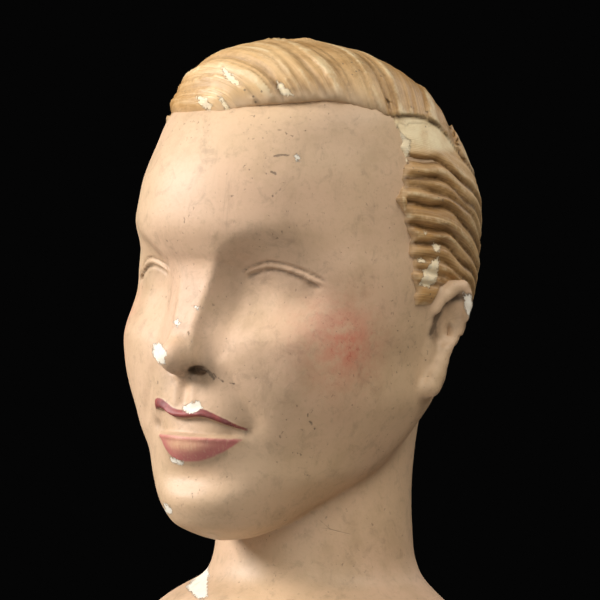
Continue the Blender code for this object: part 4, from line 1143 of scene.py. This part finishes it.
# ---------------------------------------------------------------- pelvis and legs
PELVIS = dense([
    (845, 0, 36, 40, 30, 40), (865, 0, 34, 120, 66, 80), (900, 0, 33, 153, 86, 100),
    (940, 0, 32, 158, 90, 104), (1000, 0, 31, 148, 90, 98), (1060, 0, 30, 131, 87, 88),
    (1115, 0, 30, 120.3, 86, 84),
])
# Level sections of a leg about its axis: height, half width, front depth, back depth
LEG_SHAPE = [
    (60, 27, 33, 35), (70, 28, 34, 36), (95, 30, 34, 38), (130, 26, 30, 35), (190, 28, 31, 37),
    (270, 38, 37, 48), (350, 48, 43, 60), (410, 49, 45, 61), (480, 45, 47, 48), (535, 48, 53, 47),
    (600, 53, 58, 56), (680, 62, 68, 66), (770, 72, 75, 75), (860, 75, 80, 80), (915, 74, 78, 82),
]
RIGHT_AXIS = [(60, -95, 55), (70, -95, 55), (535, -92, 36), (915, -80, 34)]
LEFT_AXIS = [(60, 112, 22), (70, 112, 22), (535, 98, 4), (770, 86, 24), (915, 80, 34)]
THIGH_Z = 770.0
HIP_TOP = 915.0
# A foot from heel to toe: distance behind the ankle, centre across, half width, sole height, top height
FOOT = dense([
    (-190, -2, 38, 17, 33), (-172, 0, 44, 16, 39), (-140, 3, 46, 16.5, 48), (-100, 4, 40, 21, 64),
    (-60, 3, 34, 30, 86), (-20, 1, 31, 34, 106), (15, 0, 31, 34, 104), (40, 0, 26, 36, 92),
    (49, 0, 14, 46, 74),
])
# Toes of the left foot from the big toe out: root across, tip across, tip distance, root radius, tip radius
TOES = [
    (-25, -22, -196, 12.5, 10.5), (-6, -6, -198, 9.6, 7.8), (9, 8, -191, 9.0, 7.4),
    (23, 21, -183, 8.4, 7.0), (35, 33, -172, 8.0, 6.8),
]


def leg_table(axis):
    shape = dense(LEG_SHAPE)
    along = np.array(axis, float)
    x = np.interp(shape[:, 0], along[:, 0], along[:, 1])
    y = np.interp(shape[:, 0], along[:, 0], along[:, 2])
    return np.stack([shape[:, 0], x, y, shape[:, 1], shape[:, 2], shape[:, 3]], 1)


LEFT_LEG = leg_table(LEFT_AXIS)
RIGHT_LEG = leg_table(RIGHT_AXIS)


def leg_relief(p, table, inner):
    """Knee, calf and thigh forms. inner is +1 where the leg's inner side is towards +x."""
    z = p[:, 2]
    dx = (p[:, 0] - np.interp(z, table[:, 0], table[:, 1])) * inner
    dy = p[:, 1] - np.interp(z, table[:, 0], table[:, 2])
    front = 1 - ramp(dy, -30, 6)
    back = ramp(dy, -6, 26)
    cap = 4.5 * bump(np.hypot(dx, (z - 522) * 0.8), 0, 19) - 2.0 * bump(np.hypot(dx, z - 484), 0, 17)
    cap = cap + 2.2 * bump(np.hypot(dx, (z - 466) * 0.8), 0, 14)
    hollow = -3.0 * bump(np.abs(dx), 30, 9) * bump(z, 520, 32)
    shin = 2.5 * bump(dx, 4, 8) * between(z, 150, 440, 40)
    thigh = 2.5 * bump(dx, 20, 15) * bump(z, 590, 42) + 2.0 * bump(dx, -24, 18) * bump(z, 625, 52)
    calf = 2.5 * bump(np.abs(dx), 18, 13) * bump(z, 372, 55) - 3.0 * bump(dx, 0, 7) * bump(z, 345, 60)
    fold = -2.5 * bump(z, 508, 8) * bump(dx, 0, 30) + 2.5 * bump(np.abs(dx), 27, 8) * bump(z, 525, 50)
    tendon = 2.0 * bump(dx, 0, 9) * between(z, 100, 200, 30)
    return (cap + hollow + shin + thigh) * front + (calf + fold + tendon) * back


def foot(p, ankle, side):
    """A bare foot. side is +1 for the left and -1 for the right."""
    q = np.stack([(p[:, 0] - ankle[0]) * side, p[:, 1] - ankle[1], p[:, 2]], 1)
    y = np.clip(q[:, 1], FOOT[0, 0], FOOT[-1, 0])
    get = lambda k: np.interp(y, FOOT[:, 0], FOOT[:, k])
    middle = (get(3) + get(4)) / 2
    half = np.maximum((get(4) - get(3)) / 2, 2)
    w = np.maximum(get(2), 2)
    dx, dz = q[:, 0] - get(1), q[:, 2] - middle
    shape = ((np.abs(dx) / w) ** 2.3 + (np.abs(dz) / half) ** 2.3) ** (1 / 2.3)
    r = np.hypot(dx, dz)
    value = np.where(shape > 1e-4, r * (1 - 1 / np.maximum(shape, 1e-4)), -half)
    value = np.maximum(value, -half)
    value = smooth_max(value, q[:, 1] - 47, 6)
    value = smooth_max(value, -176 - q[:, 1] + 0.45 * np.maximum(q[:, 0], -12), 5)
    toes = None
    for root, tip, reach, r0, r1 in TOES:
        knuckle = (root, reach + 34, 30)
        joint = ((root + tip) / 2, reach + 14, 28.5)
        end = (tip, reach, 16.5 + r1)
        toe = smooth_min(cone(q, knuckle, joint, r0, r0 * 0.92), cone(q, joint, end, r0 * 0.92, r1), 2)
        nail = ellipsoid(q, (tip, reach - 1.5, 16.5 + 2 * r1 - 0.6), (r1 * 0.62, r1 * 0.75, 1.3))
        toe = smooth_min(toe, nail, 0.5)
        toes = toe if toes is None else smooth_min(toes, toe, 1.6)
    value = smooth_min(value, toes, 4.5)
    arch = ellipsoid(q, (-46, -62, 14), (34, 62, 20))
    value = smooth_max(value, -arch, 8)
    for x, y0, z0 in ((-27, 2, 92), (28, 8, 84)):
        value = smooth_min(value, ellipsoid(q, (x, y0, z0), (8, 11, 10)), 9)
    tendons = np.full(len(q), 1e3)
    for x in (-16, -4, 8, 19):
        tendons = np.minimum(tendons, np.abs(q[:, 0] - x * ramp(-q[:, 1], 20, 150) - 2))
    return value - 0.9 * bump(tendons, 0, 3) * between(q[:, 1], -150, -70, 20) * (dz > 0)


def cup(p, table, z, half_depth):
    """The hollow that a fitting sits in, on both sides of a level cut through sections."""
    return np.maximum(section(p, table) + WALL, np.abs(p[:, 2] - z) - half_depth)


def hips(p):
    x, y, z = p.T
    ax = np.abs(x)
    seat = ramp(y, 40, 90)
    value = section(p, PELVIS)
    value = smooth_min(value, pair(p, (66, 84, 925), (62, 42, 58)), 26)
    value = value + 5.0 * bump(x, 0, 9) * seat * between(z, 850, 985, 25)
    groin_d, groin_t = curve_distance(ax, z, [(30, 862), (62, 905), (118, 968)])
    value = value + 3.0 * bump(groin_d, 0, 8) * (1 - ramp(y, -50, -5)) * ramp(groin_t, 0, 0.2)
    value = value - 3.0 * bump(np.hypot(ax - 118, z - 985), 0, 24) * (1 - ramp(y, -40, 20))
    return value


LEFT_ANKLE = (112, 22)
RIGHT_ANKLE = (-95, 55)

def leg_and_foot(p, table, ankle, side):
    leg = section(p, table) - leg_relief(p, table, -side)
    value = smooth_max(leg, 64 - p[:, 2], 4)
    near = p[:, 2] < 150
    value[near] = smooth_min(value[near], foot(p[near], ankle, side), 11)
    return value

def lower_field(p):
    value = np.full(len(p), 1e3)
    high = p[:, 2] > THIGH_Z - 10
    if high.any():
        q = p[high]
        value[high] = smooth_min(hips(q), section(q, LEFT_LEG), 16)
    low = p[:, 2] < HIP_TOP + 40
    value[low] = smooth_min(value[low], leg_and_foot(p[low], RIGHT_LEG, RIGHT_ANKLE, -1), 16)
    value = np.where(p[:, 0] > 6, smooth_max(value, THIGH_Z + GAP - p[:, 2], 1.0), value)
    value = smooth_max(value, p[:, 2] - (WAIST_Z - GAP), 1.0)
    value = smooth_max(value, -cup(p, PELVIS_TOP, WAIST_Z, 72), 0.8)
    value = smooth_max(value, -cup(p, LEFT_LEG, THIGH_Z, 78), 0.8)
    from_rod = np.hypot(p[:, 0] - RIGHT_ANKLE[0], p[:, 1] - RIGHT_ANKLE[1])
    rod_way = np.maximum(from_rod - 9.8, p[:, 2] - 322)
    return smooth_max(value, -rod_way, 0.6)

def left_leg_field(p):
    value = leg_and_foot(p, LEFT_LEG, LEFT_ANKLE, 1)
    value = smooth_max(value, p[:, 2] - (THIGH_Z - GAP), 1.0)
    return smooth_max(value, -cup(p, LEFT_LEG, THIGH_Z, 78), 0.8)

# ---------------------------------------------------------------- arms and hands
ARM = dense([
    (933, 262, 4, 21, 29, 28), (998, 254, 14, 26, 31, 30), (1068, 244, 26, 32, 36, 36),
    (1138, 233, 37, 36, 40, 41), (1198, 224, 44, 34, 38, 41), (1268, 215, 45, 35, 40, 41),
    (1348, 205, 43, 38, 44, 43), (1418, 197, 41, 43, 49, 47), (1468, 192, 40, 46, 51, 49),
    (1503, 190, 40, 43, 48, 46), (1525, 188, 40, 30, 36, 34), (1534, 186, 40, 12, 15, 15),
])
WRIST = np.array([262.0, 4.0, 932.6])
PALM = dense([
    (-96, 1, 0, 11, 37, 35), (-80, 3, -1, 14, 41, 38), (-50, 3, -1, 17, 39, 36), (-22, 1, 0, 19, 31, 28),
    (0, 0, 0, 21, 29, 28),
])
# Each finger's joints from the palm, and its radius at the root and the tip
FINGERS = [
    ([(2, -29, -80), (-1, -32, -122), (-6, -32.5, -143), (-13, -32, -160)], 9.6, 6.8),
    ([(2, -10, -80), (-3, -11, -128), (-9, -10.5, -150), (-18, -10, -168)], 9.6, 7.0),
    ([(2, 10, -80), (-6, 10, -125), (-13, 10, -144), (-23, 10, -160)], 9.3, 6.7),
    ([(2, 28, -78), (-8, 30, -113), (-14, 30, -128), (-23, 30, -140)], 8.4, 6.0),
    ([(-2, -24, -30), (-9, -41, -56), (-15, -49, -82), (-20, -52, -104)], 12.5, 7.6),
]


def arm_field(p):
    x, y, z = p.T
    limb = section(p, ARM)
    cx = np.interp(z, ARM[:, 0], ARM[:, 1])
    cy = np.interp(z, ARM[:, 0], ARM[:, 2])
    dx, dy = x - cx, y - cy
    biceps = 3.0 * bump(z, 1320, 45) * bump(dx, -4, 26) * (1 - ramp(dy, -25, 5))
    triceps = 2.0 * bump(z, 1350, 55) * ramp(dy, 0, 25)
    elbow = 4.0 * bump(np.hypot(dx + 2, z - 1192), 0, 14) * ramp(dy, 5, 28)
    inner_fold = -2.0 * bump(z, 1186, 9) * (1 - ramp(dy, -25, 0))
    forearm = 2.5 * bump(z, 1120, 42) * ramp(dx, 0, 24)
    shoulder_line = -2.0 * bump(z, 1418, 16) * bump(dy, 0, 26) * ramp(dx, 4, 30)
    wrist_bone = 2.6 * bump(np.hypot(dy - 16, z - 956), 0, 9) * ramp(dx, 2, 14)
    limb = limb - biceps - triceps - elbow - inner_fold - forearm - shoulder_line - wrist_bone
    across = np.hypot(y - SHOULDER[1], z - SHOULDER[2])
    root = np.maximum(across - (SHOULDER_RADIUS - 4 * ramp(x, 176, 190)), x - 196)
    value = smooth_min(limb, root, 9)
    value = smooth_max(value, (SHOULDER[0] + GAP) - x, 1.0)
    value = smooth_max(value, (WRIST[2] + 0.8) - z, 0.8)
    seat = np.maximum(across - (SHOULDER_RADIUS - WALL), x - (SHOULDER[0] + 19))
    value = smooth_max(value, -seat, 0.8)
    well = np.maximum(section(p, ARM) + 6.5, z - (WRIST[2] + 24))
    return smooth_max(value, -well, 0.6)


def hand_field(p):
    q = p - WRIST
    x, y, z = q.T
    palm = section(q, PALM)
    heel = ellipsoid(q, (-6, -19, -42), (13, 15, 26))
    value = smooth_min(palm, heel, 8)
    heel = ellipsoid(q, (-7, 20, -46), (11, 13, 27))
    value = smooth_min(value, heel, 8)
    value = smooth_max(value, -ellipsoid(q, (-24, 3, -62), (12, 14, 24)), 7)
    fingers = None
    for path, r0, r1 in FINGERS:
        radii = np.linspace(r0, r1, len(path))
        finger = chain(q, path, radii, 3.0)
        for joint, r in zip(path[1:-1], radii[1:-1]):
            knuckle = ellipsoid(q, (joint[0] + 1.2, joint[1], joint[2]), (r, r * 1.04, r * 0.9))
            finger = smooth_min(finger, knuckle, 3)
        tip = np.array(path[-1], float)
        back = np.array([0.93, 0.0, -0.36]) if path[0][2] < -40 else np.array([0.35, -0.85, -0.30])
        reach = (q - tip) @ back
        along = np.array(path[-1], float) - np.array(path[-2], float)
        along = along / np.linalg.norm(along)
        down = (q - tip) @ along - r1 * 0.15
        across = (q - tip) - np.outer((q - tip) @ back, back) - np.outer((q - tip) @ along, along)
        sideways = np.linalg.norm(across, axis=1)
        plate = np.hypot(sideways / 0.66, down) - r1 * 0.86
        nail = np.maximum(np.abs(reach - r1 * 0.93) - 0.75, plate)
        finger = smooth_min(finger, nail, 0.5)
        fingers = finger if fingers is None else smooth_min(fingers, finger, 1.4)
    value = smooth_min(value, fingers, 6)
    tendons = np.full(len(q), 1e3)
    for start, end in ((-8, -29), (-2, -10), (4, 10), (10, 28)):
        line = start + (end - start) * np.clip(-z / 82, 0, 1)
        tendons = np.minimum(tendons, np.abs(y - line))
    value = value - 0.9 * bump(tendons, 0, 3) * between(z, -78, -25, 10) * ramp(x, 0, 12)
    return smooth_max(value, z, 0.8)


def mirror(field):
    return lambda p: field(p * np.array([-1.0, 1.0, 1.0]))


def turned_over(stops):
    """The stops of a grid line, mirrored about zero."""
    spans = [(-end[0], start[1]) for start, end in zip(stops, stops[1:])][::-1]
    return spans + [(-stops[0][0], spans[-1][1])]


def toes_and_ankle(p):
    return (p[:, 2] < 112) & (p[:, 1] < 10)


# Grid lines for each limb in x, y and z: where each run starts, and its spacing
LOWER_GRID = (
    [(-170, 5.5), (-40, 5.5), (170, 5.5)],
    [(-162, 3.6), (-60, 5.5), (150, 5.5)],
    [(10, 3.6), (120, 3.6), (160, 6.5), (1125, 6.5)],
)
LEFT_LEG_GRID = (
    [(20, 4.6), (190, 4.6)],
    [(-190, 3.4), (-30, 5.5), (110, 5.5)],
    [(10, 3.4), (120, 3.4), (160, 6.5), (780, 6.5)],
)
ARM_GRID = (
    [(150, 3.2), (180, 4.2), (300, 4.2)],
    [(-40, 4.2), (100, 4.2)],
    [(925, 3.4), (970, 4.6), (1430, 4.6), (1440, 3.6), (1545, 3.6)],
)
HAND_GRID = ([(225, 1.9), (300, 1.9)], [(-62, 1.9), (50, 1.9)], [(745, 1.9), (940, 1.9)])
body_finish = body_paint()

def add_limb(name, field, grid, body, solid, finer=()):
    """Sculpts a limb, hangs it on the body it rides on, and hides the solid it stands for."""
    limb, _ = sculpt(name, field, *grid, body_finish, finer=finer)
    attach(limb, body)
    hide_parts(solid)

add_limb("lower_skin", lower_field, LOWER_GRID, "lower_body", "pelvis_and_right_leg_shell", (toes_and_ankle,))
add_limb("left_leg_skin", left_leg_field, LEFT_LEG_GRID, "left_leg", "left_leg_shell", (toes_and_ankle,))
LIMBS = (("arm", arm_field, ARM_GRID, "arm_shell"), ("hand", hand_field, HAND_GRID, "hand"))
for side in ("left", "right"):
    for limb, field, grid, solid in LIMBS:
        if side == "right":
            field = mirror(field)
            grid = (turned_over(grid[0]), grid[1], grid[2])
        add_limb(f"{side}_{limb}_skin", field, grid, f"{side}_{limb}", f"{side}_{solid}")

# ---------------------------------------------------------------- the fittings and the stand
def wood_finish():
    f = Finish("turned_wood")
    grain = f.noise(30, 6, 0.65, (1.0, 7.0, 1.0), (0.2, 0.1, 0.7), 0.9)
    pores = f.noise(420, 3, 0.6, (1.0, 0.15, 1.0))
    stain = f.noise(12, 4, 0.6)
    colour = f.mix(f.step(grain, 0.36, 0.64), (0.42, 0.25, 0.12), (0.24, 0.13, 0.055))
    colour = f.mix(f.step(pores, 0.55, 0.68, 0, 0.6), colour, (0.10, 0.05, 0.02))
    colour = f.mix(f.step(stain, 0.5, 0.75, 0, 0.4), colour, (0.16, 0.10, 0.06))
    height = f.plus(f.times(grain, 0.5), f.times(pores, -0.5))
    return f.finish(colour, f.step(stain, 0.3, 0.7, 0.50, 0.72), height, 0.0003, 0.8)


def metal_finish(name, bright, dull, rust):
    """Worn metal: fine turning lines, dull patches and rust spots as strong as rust."""
    f = Finish(name)
    patch = f.noise(45, 5, 0.65)
    lines = f.noise(300, 3, 0.6, (1.0, 1.0, 6.0))
    spots = f.times(f.step(f.noise(130, 5, 0.7, None, (4.0, 1.0, 2.0)), 0.56, 0.66), rust)
    colour = f.mix(f.step(patch, 0.35, 0.65), bright, dull)
    colour = f.mix(spots, colour, (0.13, 0.055, 0.025))
    f.put(f.shader.inputs["Metallic"], f.minus(1.0, spots))
    rough = f.plus(f.step(patch, 0.3, 0.7, 0.26, 0.46), f.times(spots, 0.4))
    height = f.plus(f.times(lines, 0.4), f.times(spots, 0.5))
    return f.finish(colour, rough, height, 0.00012, 0.7)


def enamel_finish():
    f = Finish("base_enamel")
    orange_peel = f.noise(230, 3, 0.5)
    dust = f.noise(14, 6, 0.7)
    wear = f.noise(60, 6, 0.72, None, (2.0, 5.0, 1.0), 0.5)
    chips = f.step(wear, 0.71, 0.72)
    colour = f.mix(f.step(dust, 0.45, 0.72, 0, 0.35), (0.030, 0.027, 0.024), (0.16, 0.14, 0.12))
    colour = f.mix(chips, colour, (0.17, 0.085, 0.045))
    rough = f.plus(f.step(dust, 0.3, 0.7, 0.24, 0.48), f.times(chips, 0.35))
    height = f.minus(f.times(orange_peel, 0.3), chips)
    return f.finish(colour, rough, height, 0.0003, 0.8, 0.2)


def felt_finish():
    f = Finish("felt")
    fibres = f.noise(700, 4, 0.7, (1.0, 1.0, 1.0), None, 1.5)
    worn = f.noise(20, 4, 0.6)
    colour = f.mix(f.step(fibres, 0.35, 0.65), (0.020, 0.035, 0.022), (0.05, 0.075, 0.05))
    colour = f.mix(f.step(worn, 0.5, 0.75, 0, 0.4), colour, (0.09, 0.09, 0.075))
    return f.finish(colour, f.step(worn, 0.3, 0.7, 0.90, 0.98), fibres, 0.0006, 1.0)


FINISHES = {
    "wood": wood_finish(),
    "steel": metal_finish("steel", (0.56, 0.55, 0.53), (0.33, 0.32, 0.30), 0.7),
    "screw_steel": metal_finish("screw_steel", (0.50, 0.47, 0.42), (0.26, 0.24, 0.21), 0.9),
    "clamp_steel": metal_finish("clamp_steel", (0.62, 0.60, 0.56), (0.40, 0.38, 0.35), 0.4),
    "base_enamel": enamel_finish(),
    "felt": felt_finish(),
}
SIDES = ("left", "right")
FITTINGS = {
    "wood": ["waist_disc_upper", "waist_disc_lower", "thigh_disc_upper", "thigh_disc_lower"]
    + [f"{side}_{name}" for side in SIDES for name in ("shoulder_block", "arm_disc", "wrist_plug", "hand_peg")],
    "steel": [f"{cut}_{name}" for cut in ("waist", "thigh") for name in ("spigot", "cross_pin", "socket")]
    + [f"{side}_{name}" for side in SIDES for name in ("shoulder_plate", "arm_stud")]
    + ["rod_tube", "stand_rod", "rod_flange"],
    "screw_steel": [f"waist_{name}_screw_{k}" for name in ("spigot", "socket") for k in (1, 2)]
    + [f"{side}_plate_screw_{k}" for side in SIDES for k in (1, 2)]
    + [f"flange_screw_{k}" for k in (1, 2, 3)],
    "clamp_steel": ["clamp_screw"],
    "base_enamel": ["base_plate"],
    "felt": ["felt_pad"],
}
for slot, names in FITTINGS.items():
    for name in names:
        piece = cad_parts[name]
        for place in piece.material_slots:
            place.material = FINISHES[slot]


# ---------------------------------------------------------------- light, floor and world
FLOOR_Z = -0.0005

def pale_floor(radius, sides, rings):
    """A round sheet in rings, just under the stand's felt."""
    points = [(0.0, 0.0, FLOOR_Z)]
    for ring in range(1, rings + 1):
        r = radius * ring / rings
        for k in range(sides):
            a = 2 * math.pi * k / sides
            points.append((r * math.cos(a), r * math.sin(a), FLOOR_Z))
    faces = [(0, 1 + k, 1 + (k + 1) % sides) for k in range(sides)]
    for start in range(1, 1 + (rings - 1) * sides, sides):
        for k in range(sides):
            n = (k + 1) % sides
            faces.append((start + k, start + sides + k, start + sides + n, start + n))
    f = Finish("pale_floor")
    soft = f.noise(3, 4, 0.6)
    fine = f.noise(160, 3, 0.6)
    colour = f.mix(f.step(soft, 0.3, 0.7), (0.50, 0.49, 0.47), (0.56, 0.55, 0.53))
    finish = f.finish(colour, f.step(soft, 0.3, 0.7, 0.6, 0.75), fine, 0.0002, 0.5)
    return mesh_object("floor", np.array(points), faces, finish)

pale_floor(2.2, 96, 6)

def soft_light(name, azimuth, elevation, distance, size, power, colour=(1, 1, 1), look=(0, 0.02, 1.70)):
    data = bpy.data.lights.new(name, "AREA")
    data.shape = "DISK"
    data.size = size
    data.energy = power
    data.color = colour
    lamp = add_object(name, data)
    aim(lamp, azimuth, elevation, distance, look)
    lamp.visible_camera = False


soft_light("key", -48, 27, 2.6, 0.9, 100, (1.0, 0.97, 0.95))
soft_light("side", 104, 48, 3.0, 1.6, 44, (1.0, 0.95, 0.88))
soft_light("front", 40, 38, 3.4, 2.2, 30, (1.0, 0.96, 0.90))
soft_light("top", 40, 80, 2.6, 1.6, 10)
soft_light("rim", 175, 25, 3.2, 1.6, 10)
soft_light("body", 20, 10, 4.2, 2.6, 42, (1.0, 0.97, 0.93), (0, 0, 0.75))
world = bpy.data.worlds.new("studio")
world.use_nodes = True
world.node_tree.nodes["Background"].inputs["Color"].default_value = (0.0015, 0.0015, 0.0015, 1)
bpy.context.scene.world = world
bpy.context.scene.view_settings.view_transform = "Standard"
